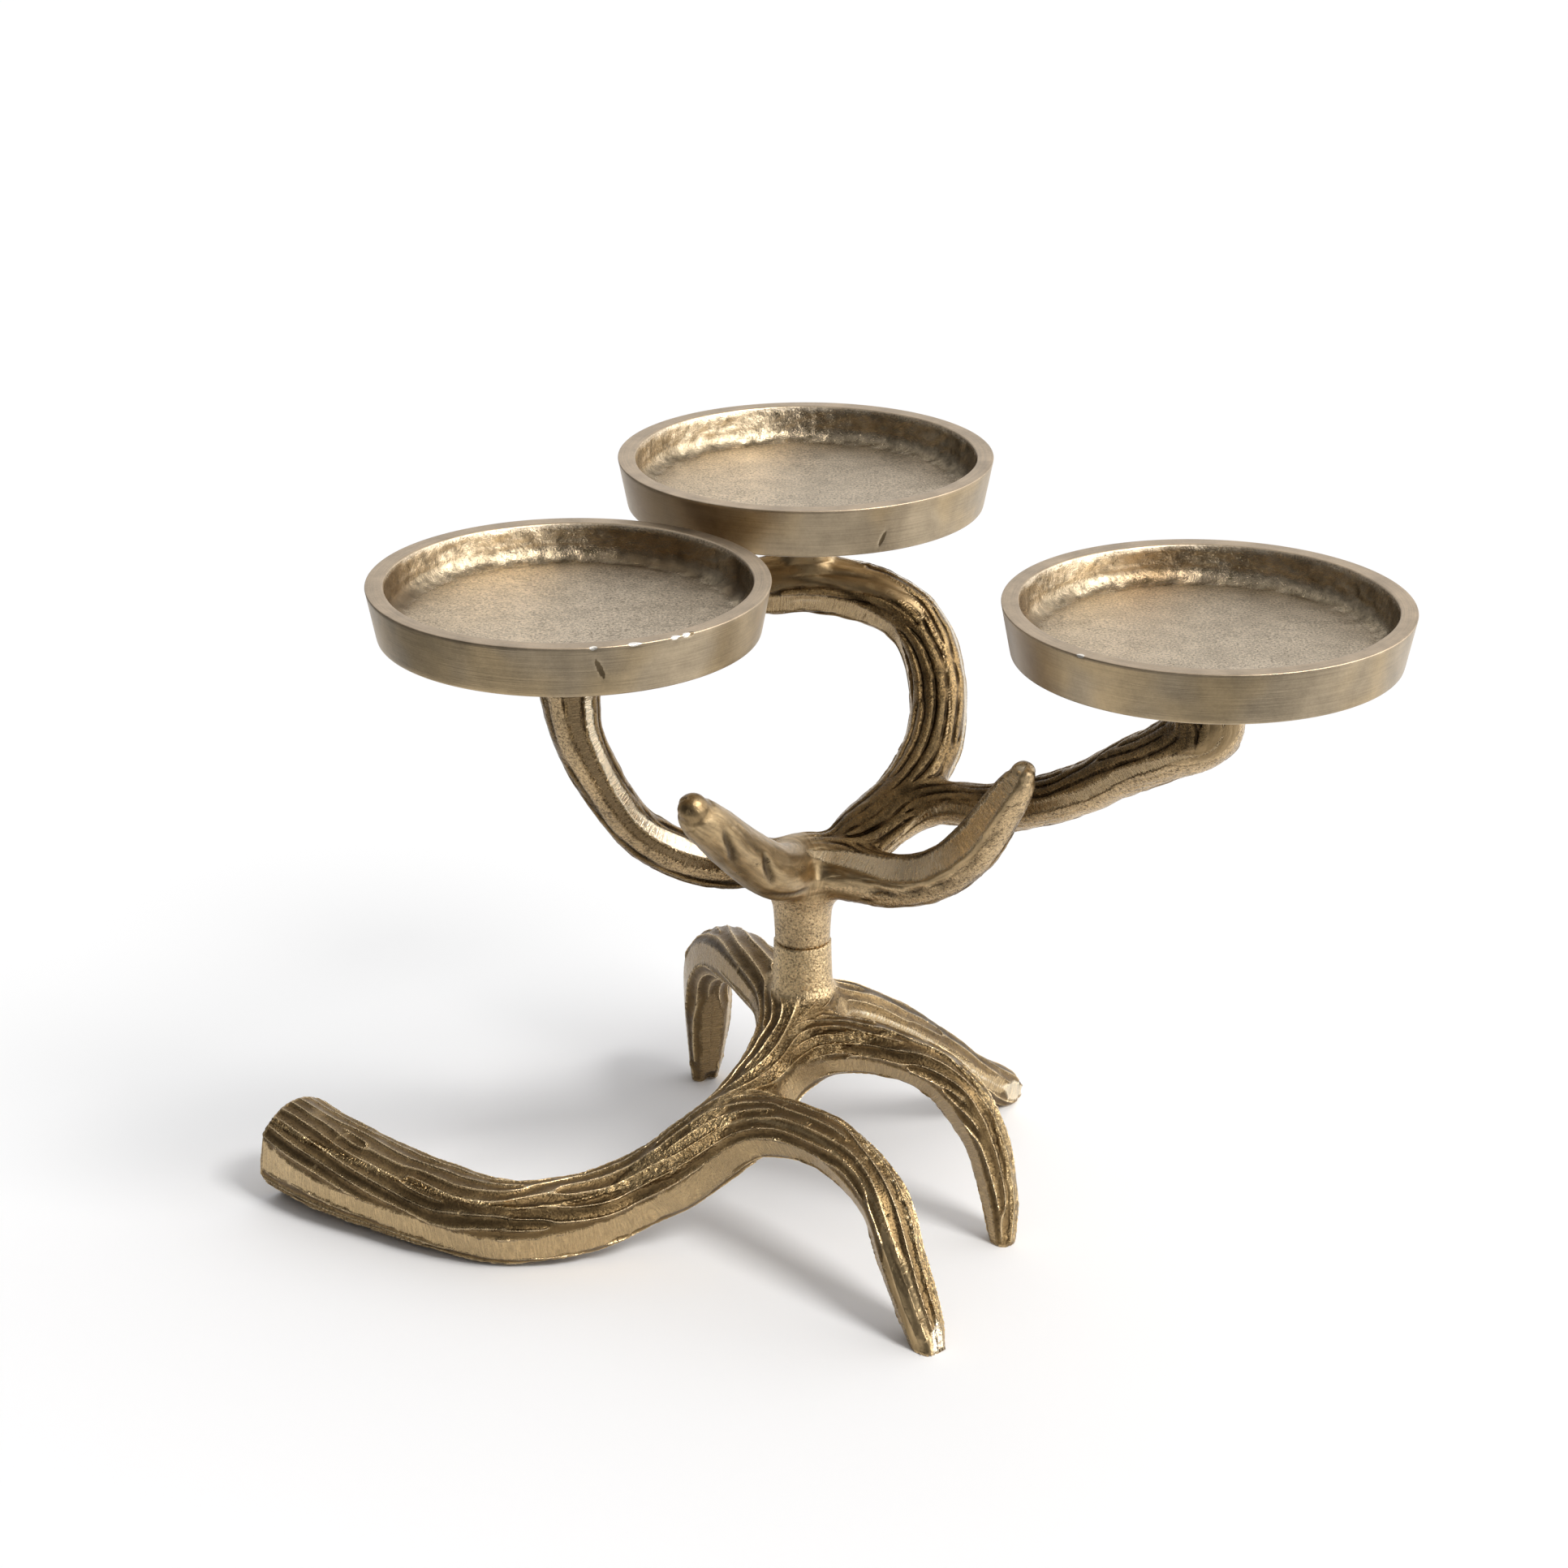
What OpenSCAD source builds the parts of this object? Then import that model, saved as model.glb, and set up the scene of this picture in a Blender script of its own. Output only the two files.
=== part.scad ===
// Three-pan candle holder made of two cast antlers.
// The lower antler lies on the table, the upper one carries the pans.
// They meet in a short post, where one screw from below holds them together.
// The post's axis is the Z axis and the table is the plane z = 0.

/* [Pans] */
// Outer diameter of each pan across its rim
pan_d = 114; // [104:1:116]
// Diameter of each pan where its wall meets the underside
pan_foot_d = 108.4; // [100:0.2:112]
// Height of each pan from its underside to its rim
pan_h = 15; // [13:0.5:20]
// Width of the flat rim
rim_w = 5; // [3:0.5:7]
// Depth of the recess that a candle stands in
recess_h = 10.5; // [8:0.5:12]
// Amount by which the recess narrows from its rim to its floor, on the radius
recess_draft = 0.8; // [0:0.1:2]
// Radius of the cove between the recess wall and its floor
cove_r = 4; // [2:0.5:6]
// Diameter of the boss under each pan
pan_boss_d = 19; // [15:0.5:24]
// Height of the boss under each pan
pan_boss_h = 8; // [6:0.5:12]

/* [Pan places] */
// Left pan, distance across from the post
left_pan_x = -66; // [-76:1:-60]
// Left pan, distance back from the post
left_pan_y = -36; // [-46:1:-30]
// Left pan, height of its rim above the table
left_pan_top = 211; // [200:1:225]
// Back pan, distance across from the post
back_pan_x = 1; // [-4:1:8]
// Back pan, distance back from the post
back_pan_y = 59; // [56:1:68]
// Back pan, height of its rim above the table
back_pan_top = 219; // [212:1:230]
// Right pan, distance across from the post
right_pan_x = 111; // [100:1:120]
// Right pan, distance back from the post
right_pan_y = -59; // [-68:1:-50]
// Right pan, height of its rim above the table
right_pan_top = 212; // [202:1:225]

/* [Antlers] */
// Height of the lower antler's hub above the table
lower_hub_h = 57; // [52:1:62]
// Height of the upper antler's hub above the table
upper_hub_h = 112; // [108:1:118]
// Thickness of the base beam where it lies on the table
beam_d = 24.4; // [20:0.2:28]
// Thickness of the tines that the base stands on
tine_d = 14; // [11:0.5:17]
// Thickness of the arms that carry the pans
arm_d = 15; // [13:0.5:18]
// Thickness of the two short prongs of the upper antler
prong_d = 15; // [12:0.5:17]
// Metal ground off the underside of the base beam so that it lies flat
ground_off = 0.6; // [0.3:0.1:1.5]

/* [Post] */
// Height of the seam between the two antlers above the table
seam_h = 84.5; // [80:0.5:90]
// Diameter of the lower boss at the seam
lower_boss_d = 17.4; // [15:0.2:20]
// Diameter of the upper boss at the seam
upper_boss_d = 16.6; // [15:0.2:20]
// Diameter of each boss where it runs into its antler
boss_root_d = 20; // [18:0.5:22]

/* [Fasteners] */
// Diameter of the post screw's thread
screw_d = 6; // [5:0.5:7]
// Length of the post screw's thread inside the upper boss
screw_bite = 13; // [10:0.5:15]
// Diameter of the post screw's head
screw_head_d = 10; // [9:0.5:11]
// Height of the post screw's head
screw_head_h = 6; // [4:0.5:7]
// Width across flats of the hexagon socket in the head
hex_key = 5; // [3:0.5:6]
// Outer diameter of the spring washer under the head
washer_d = 11.8; // [11:0.2:13]
// Thickness of the spring washer
washer_t = 1.6; // [1:0.1:2]
// Diameter of the stud that holds each pan
stud_d = 6; // [4:0.5:7]
// Length of each stud inside its arm
stud_in_arm = 12; // [8:0.5:14]
// Length of each stud inside its pan
stud_in_pan = 8.5; // [6:0.5:10]

/* [Fits] */
// Radial clearance of the screw in the lower post, on which the antler turns
swivel_gap = 0.06; // [0.02:0.01:0.1]
// Radial clearance of every thread in its hole
thread_gap = 0.04; // [0.02:0.01:0.1]
// Radial clearance round the screw head and its washer
head_gap = 0.5; // [0.3:0.1:1]
// Depth left free past the end of each screw and stud
end_gap = 1; // [0.5:0.1:2]

/* [Hidden] */
$fn = 96;

// Sides of a cast limb, and rings drawn for each stretch of its route
limb_sides = 14;
limb_steps = 3;
// How far the limbs run below the table before they are ground flat
sink = 3;
// Largest reach of the base, for the block that grinds it flat
reach = 400;

brass = "darkkhaki";
steel = "silver";

// Places of the pans: x, y and rim height
left_pan = [left_pan_x, left_pan_y, left_pan_top];
back_pan = [back_pan_x, back_pan_y, back_pan_top];
right_pan = [right_pan_x, right_pan_y, right_pan_top];

// Heights that follow from the sizes above
seat_below_hub = 3;
root_overlap = 4;
screw_seat_h = lower_hub_h - seat_below_hub;
head_bottom_h = screw_seat_h - washer_t - screw_head_h;
bore_r = screw_d / 2 + swivel_gap;
tapped_r = screw_d / 2 + thread_gap;
stud_hole_r = stud_d / 2 + thread_gap;
counterbore_r = max(screw_head_d, washer_d) / 2 + head_gap;
arm_pad_d = pan_boss_d - 1;
arm_pad_root_d = arm_d + 1;
side_pad_h = pan_boss_h * 0.75;
seat_face_d = 1.5 * pan_boss_d;

lower_hub = [0, 0, lower_hub_h];
upper_hub = [0, 0, upper_hub_h];

// A route is a list of points chosen by hand, each with its girth:
// x, y, z and the limb's thickness there as a share of its nominal thickness.
// The beam lies on the table from its sawn end to its second bend: x, y and girth.
lying_route = [
    [-157, 1, 1.23], [-144, -12, 1.18], [-127, -25, 1.11], [-108, -37, 1.05], [-88, -44, 1],
];
// From there it rises to the hub.
rising_route = [
    [-66, -42, 13.5, 0.95], [-51, -38, 18, 0.9], [-38, -37, 25, 0.88], [-26, -33, 33, 0.87],
    [-14.5, -24, 42, 0.87], [-5.5, -12, 50, 0.88], [0, 0, 57, 0.95],
];
beam_route = concat(
    [for (p = lying_route) [p.x, p.y, p.z * beam_d / 2 - ground_off, p.z]],
    rising_route
);
front_tine_route = [
    [-38, -37, 25, 1.14], [-26, -36, 34, 1.3], [-13, -38, 40.5, 1.3], [0, -46, 42.5, 1.17],
    [11, -57, 42, 1.05], [23, -72, 34, 0.99], [28.5, -83, 20, 0.93], [34, -92, 7, 0.87],
    [37, -99, -3, 0.6],
];
right_tine_route = [
    [-4, -10, 51, 1.15], [6, -13, 55, 1.29], [17, -15, 56, 1.17], [28, -18, 54.5, 1.03],
    [40, -21, 50, 0.99], [49, -24, 42, 0.99], [55.5, -26, 32, 0.9], [58.5, -28, 22, 0.83],
    [60.5, -31, 11, 0.74], [61, -36, -3, 0.46],
];
rear_tine_route = [
    [0, 0, 57, 1.29], [10, 8, 58, 1.11], [27, 20, 46, 0.97], [41, 34, 31, 0.9],
    [54, 46, 16, 0.86], [64, 57, 5.5, 0.74], [68, 61, 2, 0.5], [70, 63, 1, 0.2],
];
hooked_tine_route = [
    [0, 0, 57, 1.29], [-8, 12, 61, 1.29], [-17, 30, 62.5, 1.27], [-25, 50, 57, 1.21],
    [-30, 65, 44, 1.16], [-30.3, 71, 28, 1.14], [-31, 74, 12, 0.89], [-32, 78, -3, 0.57],
];
left_arm_route = [
    [0, 0, 112, 1.25], [-14, 0, 110.5, 1.06], [-29, -6, 112.5, 1.01], [-42, -13, 120.5, 0.97],
    [-51.5, -20, 131, 0.97], [-59, -28, 146, 0.99], [-65, -34, 164, 1.05], [-66, -36, 180, 1.13],
    [-66, -36, 187, 1.15],
];
loop_route = [
    [0, 0, 112, 1.25], [12, 3, 114, 1], [24, 8, 121, 1.05], [33, 15, 129, 1.12],
    [39, 24, 137, 1.16], [41, 34, 145, 1.16], [40.5, 43, 153, 1.17], [38, 50, 161, 1.17],
    [32.5, 55, 167.5, 1.2], [24, 58, 172, 1.23], [13, 59, 175.5, 1.25], [1, 59, 178, 1.27],
    [-10, 58, 177.5, 1.23], [-17, 57, 177, 1.05], [-20.5, 56.5, 176.8, 0.62], [-21.5, 56.4, 176.8, 0.15],
];
right_arm_route = [
    [20, 6, 117, 0.93], [32, 7, 122, 0.93], [44, 3, 126, 0.99], [57, -6, 129, 0.99],
    [68, -16, 134.5, 0.99], [81, -29, 144, 1.01], [92, -40, 155, 1.04], [102, -50, 164, 1.12],
    [110.5, -57, 173, 1.31], [112, -59, 182, 1.28], [111, -59, 188, 1.2],
];
left_prong_route = [
    [0, 0, 112, 1.33], [-8.5, -17, 114, 1.1], [-17.5, -29, 125, 0.96], [-24, -39, 135, 0.88],
    [-30, -46, 143.5, 0.75], [-32.3, -49, 148.5, 0.48], [-33.3, -50.3, 150.5, 0.15],
];
right_prong_route = [
    [0, 0, 112, 1.33], [12, -5, 109, 1.15], [27, -14, 109.5, 1.05], [39, -22, 115, 1.01],
    [49, -29, 126, 0.99], [56, -36, 140, 0.85], [61.5, -40, 151, 0.64], [63, -41, 155.5, 0.42],
    [63.6, -41.5, 157.5, 0.15],
];

// Place in the loop's route that lies under the back pan
under_back_pan = 11;

function unit(v) = v / norm(v);
function place(p) = [p.x, p.y, p.z];

// Moves a route so that it runs from one given place to another.
function anchored(route, start, end) =
    let (
        last = len(route) - 1,
        start_shift = start - place(route[0]),
        end_shift = end - place(route[last])
    )
    [
        for (i = [0 : last])
            let (
                s = i / last,
                p = place(route[i]) + (1 - s) * start_shift + s * end_shift
            )
            [p.x, p.y, p.z, route[i][3]]
    ];

// A smooth curve through all points of a route, with its girth.
function between(a, b, c, d, t) =
    0.5 * (2 * b + (c - a) * t + (2 * a - 5 * b + 4 * c - d) * t * t + (3 * b - a - 3 * c + d) * t * t * t);

function smooth(route, steps) =
    let (
        last = len(route) - 1,
        before = 2 * route[0] - route[1],
        after = 2 * route[last] - route[last - 1]
    )
    concat(
        [
            for (i = [0 : last - 1], k = [0 : steps - 1])
                between(
                    i == 0 ? before : route[i - 1], route[i], route[i + 1],
                    i == last - 1 ? after : route[i + 2], k / steps
                )
        ],
        [route[last]]
    );

function headings(curve) =
    let (last = len(curve) - 1)
    [
        for (i = [0 : last])
            unit(place(curve[min(i + 1, last)]) - place(curve[max(i - 1, 0)]))
    ];

function square_to(heading, side) = unit(side - (side * heading) * heading);

// Sideways directions that turn with the curve and don't twist about it.
function sideways(heading) =
    let (first = abs(heading[0].z) > 0.8 ? [1, 0, 0] : [0, 0, 1])
    [
        for (
            i = 0, side = square_to(heading[0], first);
            i < len(heading);
            i = i + 1, side = square_to(heading[min(i, len(heading) - 1)], side)
        )
            side
    ];

// A round limb of changing girth along a route.
module limb(route, thickness) {
    curve = smooth(route, limb_steps);
    heading = headings(curve);
    side = sideways(heading);
    rings = len(curve);
    points = [
        for (i = [0 : rings - 1], k = [0 : limb_sides - 1])
            let (
                angle = 360 * k / limb_sides,
                r = curve[i][3] * thickness / 2
            )
            place(curve[i]) + r * (cos(angle) * side[i] + sin(angle) * cross(heading[i], side[i]))
    ];
    wall = [
        for (i = [0 : rings - 2], k = [0 : limb_sides - 1])
            let (
                a = i * limb_sides + k,
                b = i * limb_sides + (k + 1) % limb_sides,
                c = b + limb_sides,
                d = a + limb_sides
            )
            each [[a, d, c], [a, c, b]]
    ];
    start_cap = [for (k = [0 : limb_sides - 1]) k];
    end_cap = [for (k = [limb_sides - 1 : -1 : 0]) (rings - 1) * limb_sides + k];
    polyhedron(points, concat(wall, [start_cap, end_cap]), convexity = 8);
}

// The underside of everything that stands on the table is ground flat.
module ground_flat() {
    difference() {
        children();
        translate([-reach, -reach, -reach])
            cube([2 * reach, 2 * reach, reach]);
    }
}

// Limbs of one casting, joined into a single skin.
module cast_together() {
    resize([0, 0, 0])
        union()
            children();
}

// Round boss between a seam and a hub, flared where it runs into the hub.
module post_boss(seam_d, root_h) {
    height = root_h - seam_h;
    flare = [0.62, 0.8, 0.92, 1];
    widening = [0, 0.25, 0.9, 1.8];
    neck_r = seam_d / 2;
    grow = (boss_root_d - seam_d) / 2;
    outline = concat(
        [[0, 0], [neck_r, 0]],
        [for (i = [0 : len(flare) - 1]) [neck_r + grow * (flare[i] + widening[i]), flare[i] * abs(height)]],
        [[0, abs(height)]]
    );
    translate([0, 0, seam_h])
        mirror([0, 0, height < 0 ? 1 : 0])
            rotate_extrude()
                polygon(outline);
}

module lower_antler() {
    color(brass)
        difference() {
            union() {
                cast_together() {
                    ground_flat() {
                        limb(anchored(beam_route, place(beam_route[0]), lower_hub), beam_d);
                        limb(front_tine_route, tine_d);
                        limb(right_tine_route, tine_d);
                        limb(anchored(rear_tine_route, lower_hub, place(rear_tine_route[7])), tine_d);
                        limb(anchored(hooked_tine_route, lower_hub, place(hooked_tine_route[7])), tine_d);
                    }
                }
                post_boss(lower_boss_d, lower_hub_h + root_overlap);
            }
            // Bore that the post screw passes through and turns in
            translate([0, 0, screw_seat_h - 1])
                cylinder(r = bore_r, h = seam_h - screw_seat_h + 2);
            // Counterbore for the screw head and its washer
            translate([0, 0, lower_hub_h - beam_d])
                cylinder(r = counterbore_r, h = screw_seat_h - lower_hub_h + beam_d);
        }
}

function arm_end(pan) = [pan.x, pan.y, pan.z - pan_h - pan_boss_h];

// Round pad at the end of an arm, which the pan's boss is drawn down on.
module arm_pad(pan, h) {
    translate(arm_end(pan) - [0, 0, h])
        cylinder(d1 = arm_pad_root_d, d2 = arm_pad_d, h = h);
}

// Tapped hole for a pan's stud, and the flat that the pan's boss sits on.
module stud_seat(pan) {
    translate(arm_end(pan) - [0, 0, stud_in_arm + end_gap])
        cylinder(r = stud_hole_r, h = stud_in_arm + end_gap + 1);
    translate(arm_end(pan))
        cylinder(d = seat_face_d, h = pan_boss_h);
}

module upper_antler() {
    below_pad = [0, 0, 1];
    loop_drop = arm_end(back_pan).z - loop_route[under_back_pan].z;
    color(brass)
        difference() {
            union() {
                cast_together() {
                    limb(anchored(left_arm_route, upper_hub, arm_end(left_pan) - below_pad), arm_d);
                    limb(anchored(loop_route, upper_hub, place(loop_route[15])), arm_d);
                    limb(anchored(right_arm_route, place(right_arm_route[0]), arm_end(right_pan) - below_pad), arm_d);
                    limb(anchored(left_prong_route, upper_hub, place(left_prong_route[6])), prong_d);
                    limb(anchored(right_prong_route, upper_hub, place(right_prong_route[8])), prong_d);
                }
                arm_pad(left_pan, side_pad_h);
                arm_pad(back_pan, loop_drop);
                arm_pad(right_pan, side_pad_h);
                post_boss(upper_boss_d, upper_hub_h - root_overlap);
            }
            // Tapped hole for the post screw
            translate([0, 0, seam_h - 1])
                cylinder(r = tapped_r, h = screw_bite + end_gap + 1);
            stud_seat(left_pan);
            stud_seat(back_pan);
            stud_seat(right_pan);
        }
}

module post_screw() {
    color(steel)
        difference() {
            union() {
                translate([0, 0, head_bottom_h])
                    cylinder(d = screw_head_d, h = screw_head_h);
                translate([0, 0, head_bottom_h + screw_head_h])
                    cylinder(d = screw_d, h = seam_h + screw_bite - head_bottom_h - screw_head_h);
            }
            translate([0, 0, head_bottom_h - 1])
                cylinder(d = hex_key / cos(30), h = 1 + screw_head_h / 2, $fn = 6);
        }
}

module spring_washer() {
    color(steel)
        translate([0, 0, screw_seat_h - washer_t])
            difference() {
                cylinder(d = washer_d, h = washer_t);
                translate([0, 0, -1])
                    cylinder(r = bore_r, h = washer_t + 2);
            }
}

// A shallow dish with a flat rim, a cove at its floor and a boss below.
module pan(at) {
    rim_r = pan_d / 2;
    recess_r = rim_r - rim_w;
    floor_r = recess_r - recess_draft - cove_r;
    floor_h = pan_h - recess_h;
    cove = [
        for (a = [0 : 15 : 90])
            [floor_r + cove_r * sin(a), floor_h + cove_r * (1 - cos(a))]
    ];
    outline = concat(
        [[0, 0], [pan_foot_d / 2, 0], [rim_r, pan_h], [recess_r, pan_h]],
        [for (i = [len(cove) - 1 : -1 : 0]) cove[i]],
        [[0, floor_h]]
    );
    color(brass)
        translate([at.x, at.y, at.z - pan_h])
            difference() {
                union() {
                    rotate_extrude()
                        polygon(outline);
                    translate([0, 0, -pan_boss_h])
                        cylinder(d = pan_boss_d, h = pan_boss_h + floor_h / 2);
                }
                translate([0, 0, -pan_boss_h - 1])
                    cylinder(r = stud_hole_r, h = stud_in_pan + end_gap + 1);
            }
}

module pan_left() pan(left_pan);
module pan_back() pan(back_pan);
module pan_right() pan(right_pan);

// Threaded stud, half in the arm and half in the pan.
module stud(at) {
    color(steel)
        translate(arm_end(at) - [0, 0, stud_in_arm])
            cylinder(d = stud_d, h = stud_in_arm + stud_in_pan);
}

module stud_left() stud(left_pan);
module stud_back() stud(back_pan);
module stud_right() stud(right_pan);

lower_antler();
upper_antler();
post_screw();
spring_washer();
pan_left();
pan_back();
pan_right();
stud_left();
stud_back();
stud_right();
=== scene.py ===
# %% [markdown]
# # A candle holder cast as two antlers
#
# The real thing is two brass castings that meet in a short post, with three shallow pans
# on top. The construction model gives the places and the sizes. This script gives it its
# looks: the furrowed and filed castings, the turned pans and their finishes.
# Everything is in metres, with the table at z = 0 and the post on the Z axis.

# %% Load the construction model
import math
import time

import bpy
import numpy as np
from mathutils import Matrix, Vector
from mathutils.kdtree import KDTree


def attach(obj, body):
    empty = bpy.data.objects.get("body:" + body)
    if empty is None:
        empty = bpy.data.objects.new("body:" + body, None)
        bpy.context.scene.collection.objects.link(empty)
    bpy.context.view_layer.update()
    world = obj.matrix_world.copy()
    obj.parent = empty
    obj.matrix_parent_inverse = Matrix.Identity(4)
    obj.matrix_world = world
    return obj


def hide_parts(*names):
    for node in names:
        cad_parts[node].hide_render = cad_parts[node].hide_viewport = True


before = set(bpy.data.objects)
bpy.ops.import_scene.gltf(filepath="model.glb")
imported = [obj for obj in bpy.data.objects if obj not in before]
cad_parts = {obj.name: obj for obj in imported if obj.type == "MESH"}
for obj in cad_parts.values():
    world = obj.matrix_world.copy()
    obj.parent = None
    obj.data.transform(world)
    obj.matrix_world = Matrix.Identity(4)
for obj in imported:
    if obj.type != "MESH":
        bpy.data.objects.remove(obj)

began = time.time()
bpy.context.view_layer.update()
scene = bpy.context.scene
MM = 0.001
WHITE = (1.0, 1.0, 1.0)
print("construction model:", sorted(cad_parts))


def placed(name, data):
    """A new object at the origin."""
    piece = bpy.data.objects.new(name, data)
    scene.collection.objects.link(piece)
    return piece

# %% [markdown]
# ## Camera
#
# The photograph was taken with a long lens from a little above. The ellipses of the three
# rims give its height and tilt: 22 degrees down, with a view as narrow as that of an 85 mm
# lens. The camera is straight and looks along +Y.

# %% Place the camera
CAMERA_AT, CAMERA_DOWN, LENS, SENSOR = (-0.0056, -1.0202, 0.545), 21.9, 85, 36
camera_data = bpy.data.cameras.new("camera")
camera_data.lens = LENS
camera_data.sensor_width = SENSOR
camera_data.clip_start = 0.05
camera = placed("camera", camera_data)
camera.location = CAMERA_AT
camera.rotation_euler = (math.radians(90 - CAMERA_DOWN), 0, 0)
scene.camera = camera
print("camera looks down by", CAMERA_DOWN, "degrees")

# %% [markdown]
# ## Light
#
# Product light: one large soft lamp from the front right, whose shadow falls to the left
# and back, and a pale room. A sun with a wide angle is such a lamp at any distance, so the
# table stays evenly lit. Brass shows what it reflects, so the room isn't the same all
# round: bright behind and to the right, dim in front and to the left. Low on the right
# stands a white screen, which shows in mirror images only.

# %% The soft lamp
LAMP_AT, LAMP_WIDTH = (0.75, -0.61, 1.1), 18
scene.view_settings.view_transform = "Standard"
lamp_data = bpy.data.lights.new("soft_lamp", "SUN")
lamp_data.energy = 1.9
lamp_data.angle = math.radians(LAMP_WIDTH)
lamp_data.color = (1.0, 0.99, 0.975)
lamp = placed("soft_lamp", lamp_data)
lamp.rotation_euler = Vector(LAMP_AT).to_track_quat("Z", "Y").to_euler()
print("the lamp looks", LAMP_WIDTH, "degrees wide")


# %% [markdown]
# ## How the finishes are written
#
# A finish is a tree of nodes. Written as sums and products it reads like a recipe. So one
# small class wraps an output socket and lets Python's own operators add the Math nodes,
# and a second one adds any other node by its type, its settings and its inputs.


# %% Sums and products of sockets
def math_node(operation, swapped=False):
    """A method that adds a Math node of a socket and one more term."""

    def method(self, other):
        first, second = (other, self) if swapped else (self, other)
        return self.finish.add("Math", {"operation": operation}, {0: first, 1: second})

    return method


class Value:
    """An output socket that can be used in a sum or product."""

    __add__ = __radd__ = math_node("ADD")
    __sub__, __rsub__ = math_node("SUBTRACT"), math_node("SUBTRACT", swapped=True)
    __mul__ = __rmul__ = math_node("MULTIPLY")
    __truediv__ = math_node("DIVIDE")
    power, least, most = math_node("POWER"), math_node("MINIMUM"), math_node("MAXIMUM")

    def __init__(self, finish, socket):
        self.finish, self.socket = finish, socket

    def clamp(self):
        return self.most(0.0).least(1.0)

    def rise(self, low, high):
        """0 at low, 1 at high and smooth between. Low may be the larger number."""
        settings = {"interpolation_type": "SMOOTHSTEP"}
        return self.finish.add("MapRange", settings, {0: self, 1: low, 2: high, 3: 0.0, 4: 1.0})

    def output(self, name):
        return Value(self.finish, self.socket.node.outputs[name])


# %% The tree of a finish
class Finish:
    """The node tree of a material or a world."""

    def __init__(self, owner):
        owner.use_nodes = True
        self.owner, self.tree, self.count = owner, owner.node_tree, 0
        self.tree.nodes.clear()

    def add(self, kind, settings=None, inputs=None, out=0):
        """A new shader node. Its inputs are other nodes' sockets or plain values."""
        node = self.tree.nodes.new("ShaderNode" + kind)
        self.count += 1
        node.location = (self.count % 12 * 200, -(self.count // 12) * 320)
        for key, value in (settings or {}).items():
            setattr(node, key, value)
        for key, value in (inputs or {}).items():
            target = node.inputs[key]
            if isinstance(value, Value):
                self.tree.links.new(value.socket, target)
            elif target.type == "RGBA":
                target.default_value = (*value, 1)
            else:
                target.default_value = value
        return Value(self, node.outputs[out])

    def notes(self, names):
        """The numbers kept with the points of the mesh under each of these names."""
        return [self.add("Attribute", {"attribute_name": name}, out="Fac") for name in names.split()]

    def ray(self, question):
        return self.add("LightPath", out=question)

    def mix(self, share, first, second):
        settings = {"data_type": "RGBA", "clamp_factor": True}
        return self.add("Mix", settings, {0: share, 6: first, 7: second}, out=2)

    def place(self, scale=(1, 1, 1)):
        """The piece's own coordinates in millimetres, scaled."""
        where = self.add("TexCoord", out="Object")
        return self.add("Mapping", None, {0: where, 3: tuple(s / MM for s in scale)})

    def split(self, where):
        """The three coordinates of a place or direction."""
        x = self.add("SeparateXYZ", None, {0: where})
        return x, x.output("Y"), x.output("Z")

    def point(self, x, y, z=0.0):
        return self.add("CombineXYZ", None, {0: x, 1: y, 2: z})

    def noise(self, where, scale, detail=3.0, roughness=0.55):
        inputs = {"Vector": where, "Scale": scale, "Detail": detail, "Roughness": roughness}
        return self.add("TexNoise", None, inputs)

    def cells(self, where, scale):
        """Distance from the middles of random cells."""
        return self.add("TexVoronoi", None, {"Vector": where, "Scale": scale}, "Distance")

    def shade(self, colour, factor):
        settings = {"operation": "SCALE"}
        return self.add("VectorMath", settings, {0: colour, "Scale": factor})

    def end(self, kind, shader):
        output = self.tree.nodes.new("ShaderNodeOutput" + kind)
        self.tree.links.new(shader.socket, output.inputs["Surface"])
        print("finish", self.owner.name, "has", self.count, "nodes")
        return self.owner

    def metal(self, tone, rough, height, strength, depth):
        """Ends the tree in bare metal whose bumps are depth millimetres high."""
        bump = {"Strength": strength, "Distance": depth * MM, "Height": height}
        inputs = {"Base Color": tone, "Metallic": 1.0, "Roughness": rough.clamp(),
                  "Normal": self.add("Bump", None, bump)}
        return self.end("Material", self.add("BsdfPrincipled", None, inputs))


# %% Paint the room
ROOM_DIM, ROOM_BRIGHT, SCREEN_LIGHT = (0.08, 0.08, 0.085), (1.0, 1.0, 1.01), 3.5


def room_light():
    """A world that is bright behind and to the right, and dim to the left in front."""
    world = bpy.data.worlds.new("room")
    scene.world = world
    room = Finish(world)
    across, back, up = room.split(room.add("TexCoord", out="Generated"))
    behind = back.rise(-0.1, 0.95) * across.rise(-0.85, -0.2) * 0.95
    right = across.rise(-0.15, 0.95) * 0.8
    above = up.rise(0.35, 1.0) * 0.45
    corner = (0 - across).rise(0.75, 1.0) * back.rise(0.0, 0.4) * up.rise(-0.2, 0.1) * 0.8
    level = 1 - (1 - behind) * (1 - right) * (1 - above) * (1 - corner)
    window = across.rise(0.55, 0.95) * (1 - up.rise(0.35, 0.8)) * 1.6
    screen = (across * 0.80 - back * 0.36 + up * 0.48).rise(0.81, 0.94) * room.ray("Is Glossy Ray")
    shade = room.shade(room.mix(level, ROOM_DIM, ROOM_BRIGHT), window + screen * SCREEN_LIGHT + 1)
    shade = room.mix(room.ray("Is Camera Ray"), shade, WHITE)
    room.end("World", room.add("Background", None, {"Color": shade, "Strength": 1.0}))


room_light()

# %% Lay the table top
SHEET_REACH = 6.0
SHEET_TONES = (0.94, 0.94, 0.945), (0.97, 0.97, 0.97)
SHADE_FRONT, SHADE_LEFT = (0.28, 0.28, 0.28), (0.13, 0.13, 0.13)


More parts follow.
